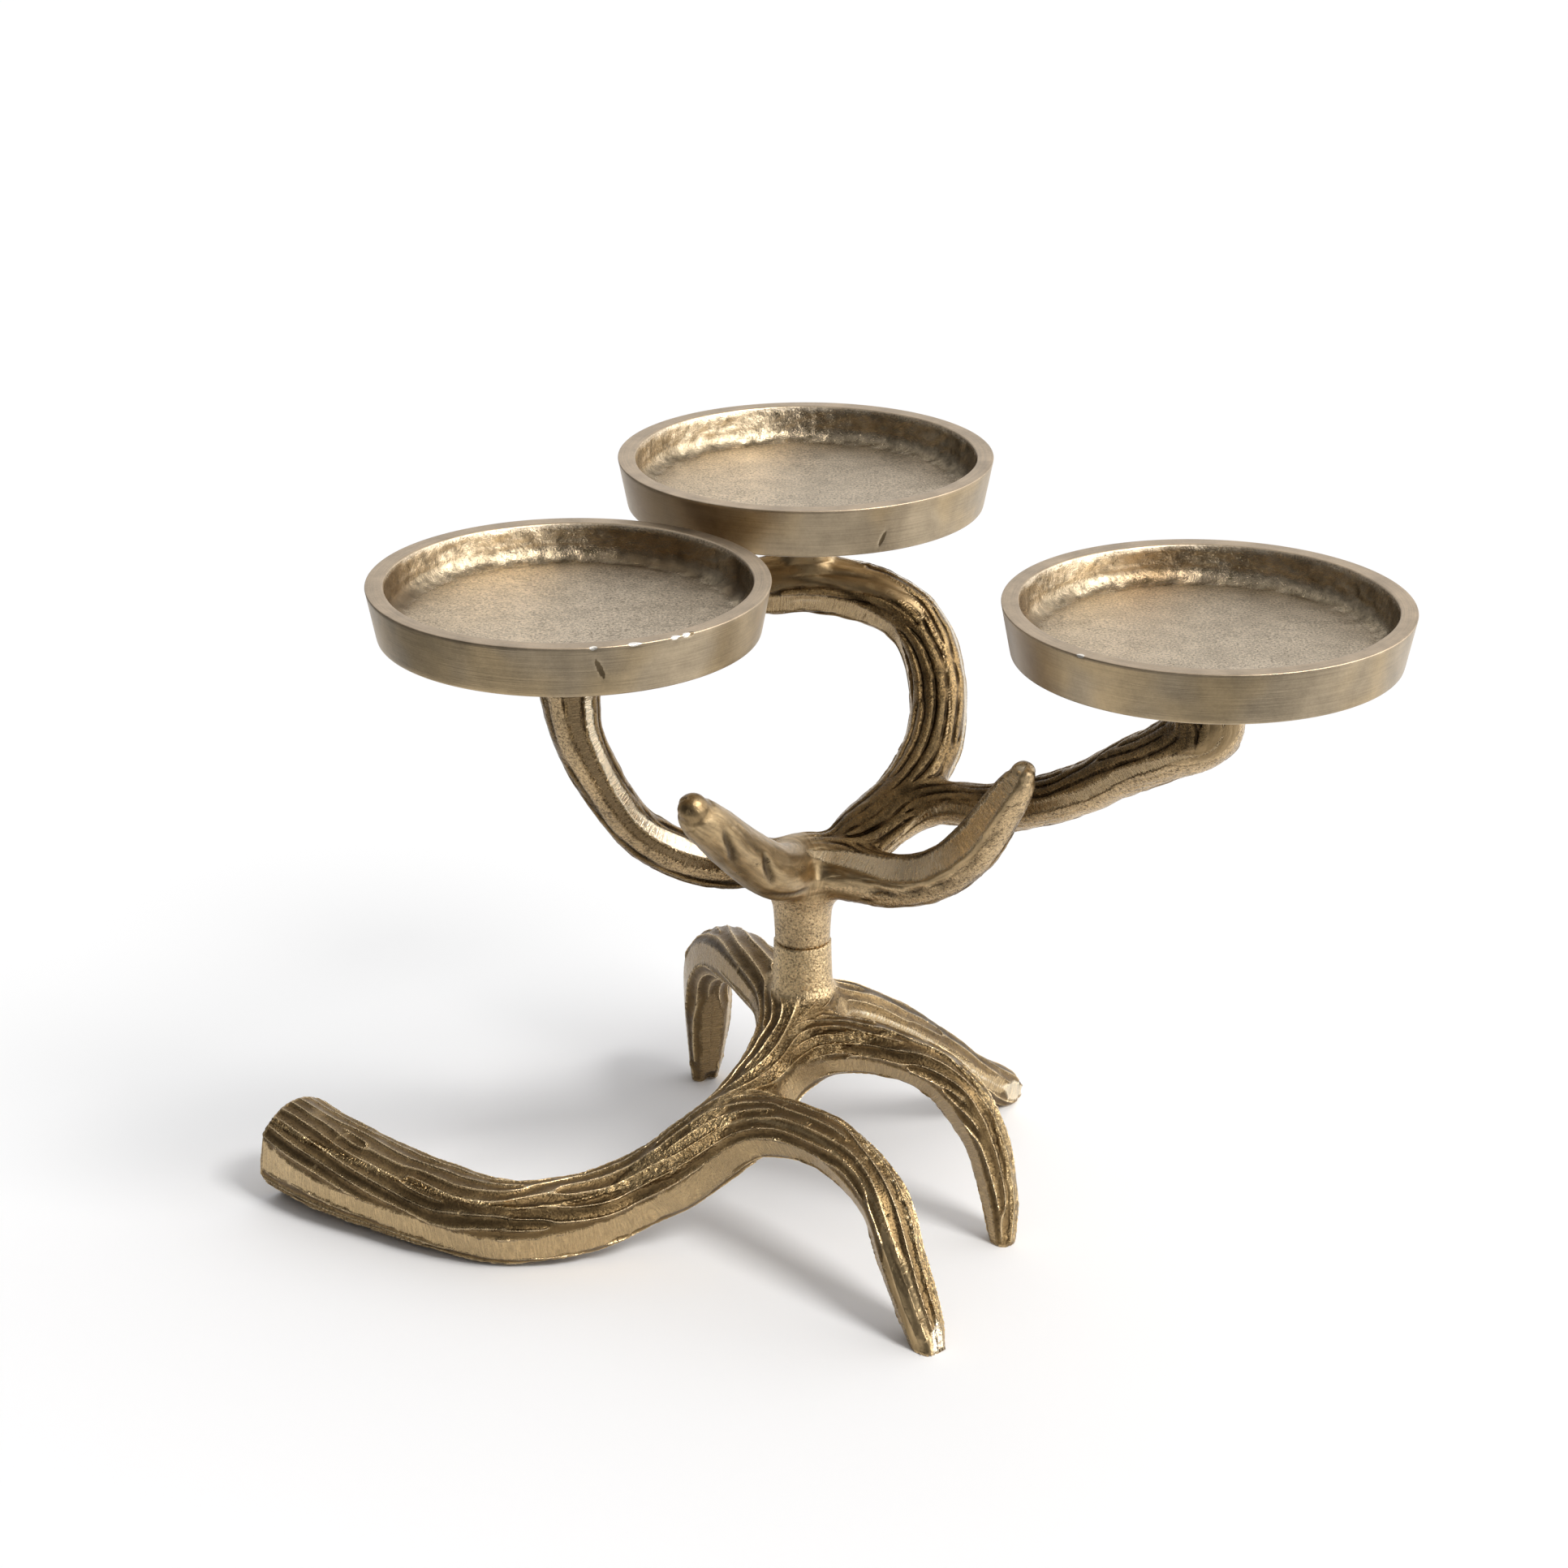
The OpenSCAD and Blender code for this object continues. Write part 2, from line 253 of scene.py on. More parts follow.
def table_top():
    """A wide white sheet under the holder. The brass mirrors a sheet with painted shade in
    front and on the left, and for the camera the sheet glows white far from the holder, a
    painted light that makes the far shadows fade."""
    sheet = bpy.data.meshes.new("table_top")
    corners = [(x * SHEET_REACH, y * SHEET_REACH, 0) for x, y in ((-1, -1), (1, -1), (1, 1), (-1, 1))]
    sheet.from_pydata(corners, [], [(0, 1, 2, 3)])
    paper = Finish(bpy.data.materials.new("table_white"))
    where = paper.place()
    across, back, _ = paper.split(where)
    seen = paper.ray("Is Camera Ray")
    # Painted shade: in front and on the left the sheet is grey for every ray but the camera's, so the brass
    # mirrors a shaded sheet.
    front = (0 - back).rise(215, 330)
    left = (0 - across - back * 0.197).rise(270, 430)
    far = (back * 0.8 - across * 0.6).rise(95, 200)
    tone = paper.mix(paper.noise(where, 3.0, 2.0), *SHEET_TONES)
    tone = paper.mix(front * (1 - seen), tone, SHADE_FRONT)
    tone = paper.mix(left * (1 - seen), tone, SHADE_LEFT)
    dull = paper.add("BsdfPrincipled", None, {"Base Color": tone, "Roughness": 0.9})
    glow = paper.add("Emission", None, {"Color": WHITE, "Strength": 1.0})
    # Painted light: far behind and to the left of the holder the sheet glows white for the camera, which
    # fades the shadows there.
    shader = paper.add("MixShader", None, {0: seen * far * 0.75, 1: dull, 2: glow})
    sheet.materials.append(paper.end("Material", shader))
    placed("table_top", sheet)


table_top()


# %% [markdown]
# ## The three pans
#
# Each pan is a shallow sand-cast dish whose rim and wall were turned on a lathe. So its
# mesh is a profile swept round its axis, with small rounded edges. The floor and the cove
# at its foot were left as cast, so there the swept rings are pushed about by slow waves.


# %% Helpers for meshes
def waves(points, length, seed, count=14):
    """Smooth noise from -1 to 1: a sum of slanted waves about length millimetres long."""
    dice = np.random.default_rng(seed)
    total = np.zeros(len(points))
    for _ in range(count):
        axis = dice.normal(size=3)
        axis *= 2 * math.pi / length * dice.uniform(0.6, 1.4) / np.linalg.norm(axis)
        total += np.cos(points @ axis + dice.uniform(0, 2 * math.pi))
    return total / math.sqrt(count / 2) / 1.8


def off_axis(points, x=0, y=0):
    """Distance from an upright axis."""
    return np.hypot(points[:, 0] - x, points[:, 1] - y)


def smoothstep(low, high, x):
    t = np.clip((x - low) / (high - low), 0, 1)
    return t * t * (3 - 2 * t)


def mesh_piece(name, points, faces):
    """A new object at the origin from points in millimetres."""
    mesh = bpy.data.meshes.new(name)
    mesh.from_pydata((np.asarray(points) * MM).tolist(), [], [tuple(f) for f in faces])
    mesh.polygons.foreach_set("use_smooth", np.ones(len(mesh.polygons), bool))
    return placed(name, mesh)


def note(mesh, **numbers):
    """Keeps numbers for each point of a mesh, which its material can read by name."""
    for name, values in numbers.items():
        layer = mesh.attributes.new(name, "FLOAT", "POINT")
        layer.data.foreach_set("value", np.asarray(values, np.float32))


# %% The profile of a pan
PAN_PLACES = {"pan_left": (-66, -36, 211), "pan_back": (1, 59, 219), "pan_right": (111, -59, 212)}
PAN_H, FLOOR_H, BOSS_H, RIM_R, MOUTH_R = 15.0, 4.5, 8.0, 57.0, 52.0
COVE_R, CAST_R = 44.5, 52.9  # the cove starts and what was cast ends at these radii


def arc(centre, radius, start, end, steps):
    """Points of an arc in the profile plane, angles in degrees."""
    angles = np.radians(np.linspace(start, end, steps))
    return [(centre[0] + radius * math.cos(a), centre[1] + radius * math.sin(a)) for a in angles]


def line(start, end, steps):
    """Points along a straight stretch of the profile, without its ends."""
    shares = np.linspace(0, 1, steps + 2)[1:-1]
    return [(start[0] + (end[0] - start[0]) * t, start[1] + (end[1] - start[1]) * t) for t in shares]


def pan_profile():
    """From the boss's centre, out under the pan, over the rim and in to the floor's centre."""
    boss_r, foot_r, cove_r, well_r = 9.5, 54.2, 5.0, 46.1
    points = [(0.0, -BOSS_H)] + line((0, -BOSS_H), (boss_r - 0.5, -BOSS_H), 2)
    points += arc((boss_r - 0.5, -BOSS_H + 0.5), 0.5, -90, 0, 4)
    points += line((boss_r, -BOSS_H + 0.5), (boss_r, -1.2), 3)
    points += arc((boss_r + 1.2, -1.2), 1.2, 180, 90, 5)
    points += line((boss_r + 1.2, 0), (foot_r - 0.7, 0), 14)
    points += arc((foot_r - 0.7, 0.75), 0.75, -90, -8, 5)
    points += line((foot_r + 0.1, 0.8), (RIM_R - 0.05, PAN_H - 0.35), 16)
    points += arc((RIM_R - 0.3, PAN_H - 0.27), 0.27, 5, 90, 4)
    points += line((RIM_R - 0.3, PAN_H), (MOUTH_R + 0.5, PAN_H), 5)
    points += arc((MOUTH_R + 0.5, PAN_H - 0.5), 0.5, 90, 180, 5)
    points += line((MOUTH_R - 0.02, PAN_H - 0.6), (MOUTH_R - 0.8, FLOOR_H + cove_r), 9)
    points += arc((well_r, FLOOR_H + cove_r), cove_r, 0, -90, 14)
    points += line((well_r, FLOOR_H), (0.4, FLOOR_H), 36)
    return np.array(points + [(0.4, FLOOR_H), (0.0, FLOOR_H)])


def turned(profile, steps):
    """Points and faces of a profile swept round the Z axis, closed at both ends."""
    angles = np.linspace(0, 2 * math.pi, steps, endpoint=False)
    inner = profile[1:-1]
    rings = np.stack(
        [np.outer(inner[:, 0], np.cos(angles)), np.outer(inner[:, 0], np.sin(angles)),
         np.repeat(inner[:, 1:], steps, axis=1)], axis=-1,
    ).reshape(-1, 3)
    points = np.vstack([rings, [0, 0, profile[0, 1]], [0, 0, profile[-1, 1]]])
    count = len(inner)
    k = np.arange(steps)
    after = (k + 1) % steps
    faces = []
    for ring in range(count - 1):
        low, high = ring * steps, (ring + 1) * steps
        faces += np.stack([low + k, low + after, high + after, high + k], axis=1).tolist()
    first, last = count * steps, count * steps + 1
    faces += np.stack([np.full(steps, first), after, k], axis=1).tolist()
    top = (count - 1) * steps
    faces += np.stack([np.full(steps, last), top + k, top + after], axis=1).tolist()
    return points, faces


def inner_share(radius, height, full):
    """1 on the inner wall from the radius full on, and 0 on the floor and what was turned."""
    below_rim = smoothstep(PAN_H - 0.2, PAN_H - 2, height) * (height > 2)
    return smoothstep(COVE_R, full, radius) * (radius < CAST_R) * below_rim


def as_cast(points, seed):
    """Pushes the floor and the inner wall about, as the sand left them."""
    radius, height = off_axis(points), points[:, 2]
    floor = (radius < 49) * (height > 2) * (height < 9)
    wall = inner_share(radius, height, 47.5)
    lumps = waves(points, 10, seed) * 0.6 + waves(points, 4.6, seed + 1) * 0.55
    mouth = (radius > 51) * (radius < CAST_R) * smoothstep(6, PAN_H, height)
    edge = 0.28 * waves(points, 34, seed + 4) * mouth
    out = points.copy()
    out[:, 2] += floor * (0.16 * waves(points, 26, seed + 2) + 0.05 * waves(points, 6, seed + 3))
    out[:, 2] += wall * smoothstep(50.5, 47.5, radius) * 0.26 * lumps
    pull = 1 - (wall * (0.22 * lumps + 0.1) + edge) / np.maximum(radius, 1)
    out[:, :2] *= pull[:, None]
    return out


# %% [markdown]
# The left pan has an oblique slot in its wall and a few chips in its rim, the back one a
# slot low in its wall, and the right one a chip. Each line below has the place from the
# pan's centre, the size across, round and up, how far the top leans to the left for each
# millimetre of height, and the depth.

# %% Turn the pans
SLOTS = {
    "pan_left": [((11.3, -54.8, 8.2), (0.75, 3, 3.4), 0.36, 0.7),
                 ((35.6, -44.6, 15.0), (0.9, 1.2, 0.8), 0, 0.5)],
    "pan_back": [((22.2, -50.3, 4.4), (0.6, 3, 2.4), -0.4, 0.5)]}
CHIPS = {
    "pan_left": [((9.7, -56.2, 14.9), (1.0, 1.4, 0.7), 0, 0.3),
                 ((20.7, -53.1, 14.9), (2.0, 1.4, 0.4), 0, 0.2),
                 ((31.4, -47.6, 14.8), (1.3, 1.4, 0.7), 0, 0.4),
                 ((34.4, -45.4, 14.7), (1.3, 1.4, 0.8), 0, 0.5)],
    "pan_right": [((-38.5, -42.0, 14.9), (1.2, 1.4, 0.4), 0, 0.2)]}


def dented(points, nicks):
    """Moves the points in each nick towards the axis, and says how deep in one they are."""
    out, share = points.copy(), np.zeros(len(points))
    radius = np.maximum(off_axis(points), 1)
    for place, size, lean, depth in nicks:
        offset = points - place
        offset[:, 0] += lean * offset[:, 2]
        near = np.exp(-np.sum((offset / size) ** 2, axis=1))
        out[:, :2] *= (1 - near * depth / radius)[:, None]
        share = np.maximum(share, near)
    return out, share


PANS = {}
for seed, (name, (x, y, top)) in enumerate(PAN_PLACES.items()):
    points, faces = turned(pan_profile(), 480)
    points = as_cast(points, 10 * seed + 3)
    points, in_slot = dented(points, SLOTS.get(name, ()))
    points, in_chip = dented(points, CHIPS.get(name, ()))
    reach, lift = off_axis(points), points[:, 2]
    on_rim = smoothstep(PAN_H - 0.5, PAN_H - 0.1, lift)
    on_turned = np.maximum(on_rim, (reach > CAST_R) * 1.0)
    piece = mesh_piece(name + "_dish", points + (x, y, top - PAN_H), faces)
    note(piece.data, turned=on_turned, rim=on_rim, cove=inner_share(reach, lift, 48.5),
         slot=in_slot, chip=in_chip, reach=reach + lift)
    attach(piece, "top")
    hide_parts(name)
    PANS[name] = piece
    print(name, "has", len(faces), "faces")


# %% [markdown]
# ## The two antlers: how they are made
#
# A real antler was moulded in sand, so limbs flow into each other, long furrows run along
# them and part round every fork, and the seam of the mould was filed flat along both sides
# of each limb. First Geometry Nodes sweep a tube along each limb's route. A voxel remesh
# joins the tubes into one skin, and every point of it then settles on a smooth blend of
# the limbs, with its filed flats. The routes are those of the construction model, in
# millimetres: x, y, z and the limb's girth as a share of its nominal thickness.

# %% Routes of the limbs
BEAM_D, TINE_D, ARM_D, PRONG_D = 24.4, 14.0, 15.0, 15.0
LOWER_HUB_H, UPPER_HUB_H, SEAM_H, GROUND_OFF = 57.0, 112.0, 84.5, 0.6
LYING = [(-156.6, 1.5, 1.25), (-144, -10.5, 1.2), (-127, -23, 1.12), (-108, -35, 1.04), (-88, -43.5, 1)]
ROUTES = {
    "beam": [(x, y, girth * BEAM_D / 2 - GROUND_OFF, girth) for x, y, girth in LYING] + [
        (-66, -42, 13.5, 0.95), (-51, -38, 18, 0.9), (-38, -37, 25, 0.88), (-26, -33, 33, 0.87),
        (-14.5, -24, 42, 0.87), (-5.5, -12, 50, 0.88), (0, 0, 57, 0.95)],
    "front_tine": [
        (-38, -37, 25, 1.14), (-26, -36, 34, 1.3), (-13, -38, 40.5, 1.3), (0, -46, 42.5, 1.17),
        (11, -57, 42, 1.12), (23, -72, 34, 1.08), (28.5, -83, 20, 1.02), (33.6, -92, 7, 0.9),
        (36, -97.5, -1, 0.68)],
    "right_tine": [
        (-4, -10, 51, 1.15), (6, -13, 55, 1.29), (17, -15, 56, 1.17), (28, -18, 54.5, 1.03),
        (40, -21, 50, 1.03), (48.5, -24, 42, 1.08), (54.3, -26, 32, 1.02), (57.4, -28, 22, 0.93),
        (59.6, -31, 11, 0.79), (60.5, -35, -1, 0.52)],
    "rear_tine": [
        (0, 0, 57, 1.29), (10, 8, 58.5, 1.15), (27, 20, 47, 1.03), (41, 34, 32, 0.96),
        (54, 46, 16.5, 0.95), (63, 56, 7.5, 0.92), (67, 60, 4, 0.76), (69.3, 62.3, 2.6, 0.45)],
    "hooked_tine": [
        (0, 0, 57, 1.29), (-8, 12, 61, 1.29), (-17, 30, 62.5, 1.27), (-25, 50, 57, 1.21),
        (-30.4, 65, 44, 1.2), (-31, 71, 28, 1.18), (-31.5, 74, 12, 0.93), (-32, 77.5, -1, 0.62)],
    "left_arm": [
        (0, 0, 108.5, 1.0), (-14, 0, 109.5, 1.0), (-29, -6, 112.5, 0.98), (-41.7, -13, 120.5, 0.94),
        (-50.8, -20, 131, 0.88), (-58, -28, 146, 0.9), (-64.6, -34, 164, 1.0),
        (-66.6, -36, 180, 1.15), (-66.4, -36, 187, 1.16)],
    "loop": [
        (0, 0, 108, 1.0), (12, 3, 112, 1), (24, 8, 121, 1.05), (33, 15, 129, 1.12),
        (39, 24, 137, 1.16), (41.4, 34, 145, 1.16), (41, 43, 153.3, 1.17), (38.4, 50, 161.6, 1.17),
        (32.8, 55, 168.4, 1.18), (24, 58, 173, 1.2), (13, 59, 176.3, 1.22), (1, 59, 178.4, 1.25),
        (-10, 58, 177.8, 1.2), (-17, 57, 177.2, 1.02), (-20.5, 56.5, 176.8, 0.62),
        (-21.5, 56.4, 176.8, 0.15)],
    "right_arm": [
        (20, 6, 118, 0.8), (32, 7, 123.5, 0.78), (44, 3, 127.5, 0.84), (57, -6, 129.6, 0.94),
        (68, -16, 135.5, 0.98), (81, -29, 145.2, 0.99), (92, -40, 156, 1.02), (102.3, -50, 165, 1.12),
        (111.4, -57, 173.5, 1.33), (112.6, -59, 182, 1.3), (111, -59, 188, 1.2)],
    "left_prong": [
        (0, 0, 108, 1.1), (-8.5, -17, 114, 1.12), (-17.5, -29, 125, 1.02), (-24, -39, 135, 0.95),
        (-29.6, -46, 143, 0.82), (-31.2, -48.3, 146.6, 0.62)],
    "right_prong": [
        (0, 0, 108.5, 1.1), (12, -5, 109, 1.15), (27, -14, 109.5, 1.05), (39, -22, 115, 1.01),
        (49, -29, 126, 0.99), (56, -36, 140, 0.87), (61, -40, 150.5, 0.7), (62.4, -41, 154.4, 0.5)],
}


print(len(ROUTES), "limbs, with", sum(map(len, ROUTES.values())), "points in their routes")


# %% A smooth curve through a route
RING_STEPS = 14


def unit(v):
    return v / np.linalg.norm(v, axis=-1, keepdims=True)


def between(angle, other):
    """Degrees from the other angle, from -180 to 180."""
    return (angle - other + 180) % 360 - 180


def smooth_route(route):
    """A curve through the points of a route, in RING_STEPS steps from each to the next."""
    before, after = 2 * route[0] - route[1], 2 * route[-1] - route[-2]
    full = np.vstack([before, route, after])
    rings = []
    for a, b, c, d in zip(full[:-3], full[1:-2], full[2:-1], full[3:]):
        for t in np.arange(RING_STEPS) / RING_STEPS:
            rings.append(0.5 * (2 * b + (c - a) * t + (2 * a - 5 * b + 4 * c - d) * t**2
                                + (3 * b - a - 3 * c + d) * t**3))
    return np.array(rings + [route[-1]])


# %% A limb as closely spaced rings
UP, FRONT = (0, 0, 1), (0, -0.93, 0.37)


class Limb:
    """Rings along a route. The crown is the side that faced out of the mould, and angles
    round the limb are counted from it, in degrees. A strip is a list of (place in the
    route, angle, half width). Flats are filed strips, each with its shine. The finish
    names strips that are sandy, polished or hammered, the hammered ones brightened in part
    as a painted highlight, and dark strips that are stains in part and painted shade in
    part. A groove has a place, an angle, its half length and half width, its depth and its
    slant. The furrows are depth millimetres deep, one pitch apart, and fade out over a
    length at either end."""

    def __init__(self, name, thickness, crown, flats, finish, grooves=(),
                 depth=0.45, pitch=3.2, fade=(0, 0)):
        rings = smooth_route(np.array(ROUTES[name], float))
        self.name, self.depth, self.pitch, self.grooves = name, depth, pitch, grooves
        self.centre, self.radius = rings[:, :3], rings[:, 3] * thickness / 2
        step = np.linalg.norm(np.diff(self.centre, axis=0), axis=1)
        self.along = np.concatenate([[0], np.cumsum(step)])
        self.half = np.minimum(np.append(step, step[-1]), np.append(step[0], step)) / 2
        self.heading = unit(np.gradient(self.centre, axis=0))
        crowns = [np.array(crown, float)]
        for heading in self.heading:
            side = crowns[0] if crown == FRONT else crowns[-1]
            crowns.append(unit(side - (side @ heading) * heading))
        self.crown = np.array(crowns[1:])
        self.flank = np.cross(self.heading, self.crown)
        places = np.arange(len(rings)) / RING_STEPS

        def along_rings(strips):
            for at, angle, half in (np.array(strip, float).T for strip in strips):
                yield np.interp(places, at, angle), np.interp(places, at, half)

        self.flats = list(along_rings(strip for shine, strip in flats))
        self.shines = [shine for shine, strip in flats]
        self.finish = {kind: list(along_rings(strips)) for kind, strips in finish.items()}
        self.strength = np.ones(len(rings))
        for length, from_end in zip(fade, (self.along, self.along[-1] - self.along)):
            if length:
                self.strength *= smoothstep(0, length, from_end)

    def nearest(self, points):
        """Number of the ring next to each point."""
        centre = self.centre.astype(np.float32)
        squares = np.sum(centre**2, axis=1)
        found = np.empty(len(points), np.int32)
        for start in range(0, len(points), 20000):
            part = points[start:start + 20000].astype(np.float32)
            found[start:start + 20000] = np.argmin(squares - 2 * part @ centre.T, axis=1)
        return found

    def inside(self, strips, angle, ring):
        """How deep in each strip the points lie: 1 in its middle, and below 0 outside."""
        for centre, half in strips:
            turn = np.abs(between(angle, centre[ring]))
            yield (1 - turn / np.maximum(half[ring], 1.0)) * np.minimum(half[ring] / 6, 1)

    def deepest(self, strips, angle, ring):
        """How deep the points lie in any of the strips, and 0 outside them all."""
        return np.maximum.reduce([np.zeros(len(angle)), *self.inside(strips, angle, ring)])

    def groove(self, angle, along, ring):
        """Depth of the single grooves in millimetres."""
        depth = np.zeros(len(angle))
        for place, at, half_long, half_wide, deep, slant in self.grooves:
            a = along - self.along[int(place * RING_STEPS)]
            b = np.radians(between(angle, at)) * self.radius[ring]
            turn = math.radians(slant)
            a, b = a * math.cos(turn) + b * math.sin(turn), b * math.cos(turn) - a * math.sin(turn)
            depth += deep * np.exp(-((a / half_long) ** 4) - (b / half_wide) ** 2)
        return depth

    def shine(self, angle, ring):
        """-1 on a brown flat, 1 on a bright one and 0 elsewhere."""
        strips = self.inside(self.flats, angle, ring)
        return sum(shine * (strip > 0) for shine, strip in zip(self.shines, strips))

    def read(self, points, ring):
        """Distance from the limb's surface, angle round it, place along it and how deep in
        a flat the points lie."""
        offset = points - self.centre[ring]
        lengthwise = np.sum(offset * self.heading[ring], axis=1)
        kept = np.clip(lengthwise, -self.half[ring], self.half[ring])
        reach = np.linalg.norm(offset - kept[:, None] * self.heading[ring], axis=1)
        angle = np.degrees(np.arctan2(np.sum(offset * self.flank[ring], axis=1),
                                      np.sum(offset * self.crown[ring], axis=1)))
        filed = np.ones(len(points))
        for centre, half in self.flats:
            turn, width = np.abs(between(angle, centre[ring])), np.maximum(half[ring], 1.0)
            chord = np.cos(np.radians(width)) / np.cos(np.radians(np.minimum(turn, 80)))
            filed = np.minimum(filed, np.where(turn < width, chord, 1.0))
        flat = self.deepest(self.flats, angle, ring)
        return reach - self.radius[ring] * filed, angle, self.along[ring] + kept, flat


# %% [markdown]
# The flats and furrows of each limb follow the photograph: the beam's filed strip is narrow
# at the sawn end and goes right round below at the bend, the left arm has a bright one on
# its inner side, pale as polished metal and in part as a painted highlight, and the left
# prong is polished nearly smooth.

# %% The limbs of each casting
LOWER_LIMBS = [
    Limb("beam", BEAM_D, UP, [
        (0, [(0, 84, 24), (0.6, 88, 18), (1.4, 92, 11), (3, 100, 19), (4, 112, 27), (5, 112, 31),
             (8, 110, 34), (11, 100, 20)]),
        (0, [(0, -95, 12), (4, -108, 22), (11, -95, 20)])],
        {"stain": [[(2, 60, 10), (3.4, 60, 24), (4.6, 62, 20), (5.6, 50, 5)],
                   [(6, -60, 10), (9, -70, 34), (11, -70, 36)]],
         "hammer": [[(5.4, 40, 4), (6.2, 38, 20), (7, 36, 32), (9, 40, 42), (11, 50, 46)]]},
        depth=0.8, pitch=3.6),
    Limb("front_tine", TINE_D, UP, [
        (-0.1, [(0, 108, 30), (2, 106, 30), (4, 100, 26), (6, 95, 22), (8, 92, 12)]),
        (0, [(0, -95, 14), (6, -90, 18), (8, -90, 6)]),
        (1, [(7.2, -26, 1), (7.5, -26, 26), (8, -26, 32)])],
        {"hammer": [[(0, 50, 26), (1, 50, 26), (2, 20, 1)], [(4, -40, 8), (4.6, -50, 38), (8, -52, 40)]],
         "polish": [[(5.4, 40, 4), (6, 40, 34), (8, 40, 50)]],
         "stain": [[(4.4, 60, 4), (5, 60, 12), (8, 70, 16)]]},
        grooves=[(5.5, 10, 9, 0.8, 0.4, 4), (6.1, 34, 8, 0.8, 0.35, -5)],
        depth=0.62, pitch=3.0, fade=(0, 9)),
    Limb("right_tine", TINE_D, UP, [
        (-0.35, [(0, 110, 8), (1, 118, 22), (3, 124, 32), (5, 130, 34), (7, 134, 34), (9, 130, 26)]),
        (0, [(0, -92, 14), (9, -90, 22)])],
        {"hammer": [[(0, 70, 40), (1, 70, 38), (2.4, 40, 14), (3, 0, 6), (5, 10, 16), (6, 14, 30),
                     (9, 20, 36)]],
         "stain": [[(2, 50, 20), (4, 55, 34), (6, 90, 18), (9, 90, 14)]]},
        grooves=[(6.2, 46, 13, 0.8, 0.5, 3), (5.6, 18, 12, 0.8, 0.45, -2)],
        depth=0.62, pitch=3.0, fade=(0, 6)),
    Limb("rear_tine", TINE_D, UP, [
        (0, [(0, 80, 4), (2, 88, 14), (4, 84, 20), (4.6, 82, 26), (5, 80, 2)]),
        (0.8, [(4.6, 82, 2), (5.2, 80, 38), (7, 75, 44)]),
        (0, [(0, -92, 14), (7, -90, 22)])],
        {"stain": [[(0, 0, 20), (3, 30, 30), (5, 20, 10)]]}, depth=0.55, pitch=3.0),
    Limb("hooked_tine", TINE_D, UP, [
        (-0.45, [(0, -90, 5), (2, -85, 22), (4, -80, 36), (6, -80, 34), (7, -80, 24)]),
        (-0.7, [(4, 180, 2), (4.8, 180, 30), (7, 180, 34)]),
        (0.1, [(4, 122, 2), (4.8, 124, 18), (7, 126, 16)])],
        {"stain": [[(2, -60, 20), (5, -90, 60), (7, -90, 60)], [(3, 60, 10), (7, 60, 20)]]},
        grooves=[(6.8, 165, 3.2, 2.2, 1.3, 0)], depth=0.7, pitch=3.3, fade=(0, 4)),
]
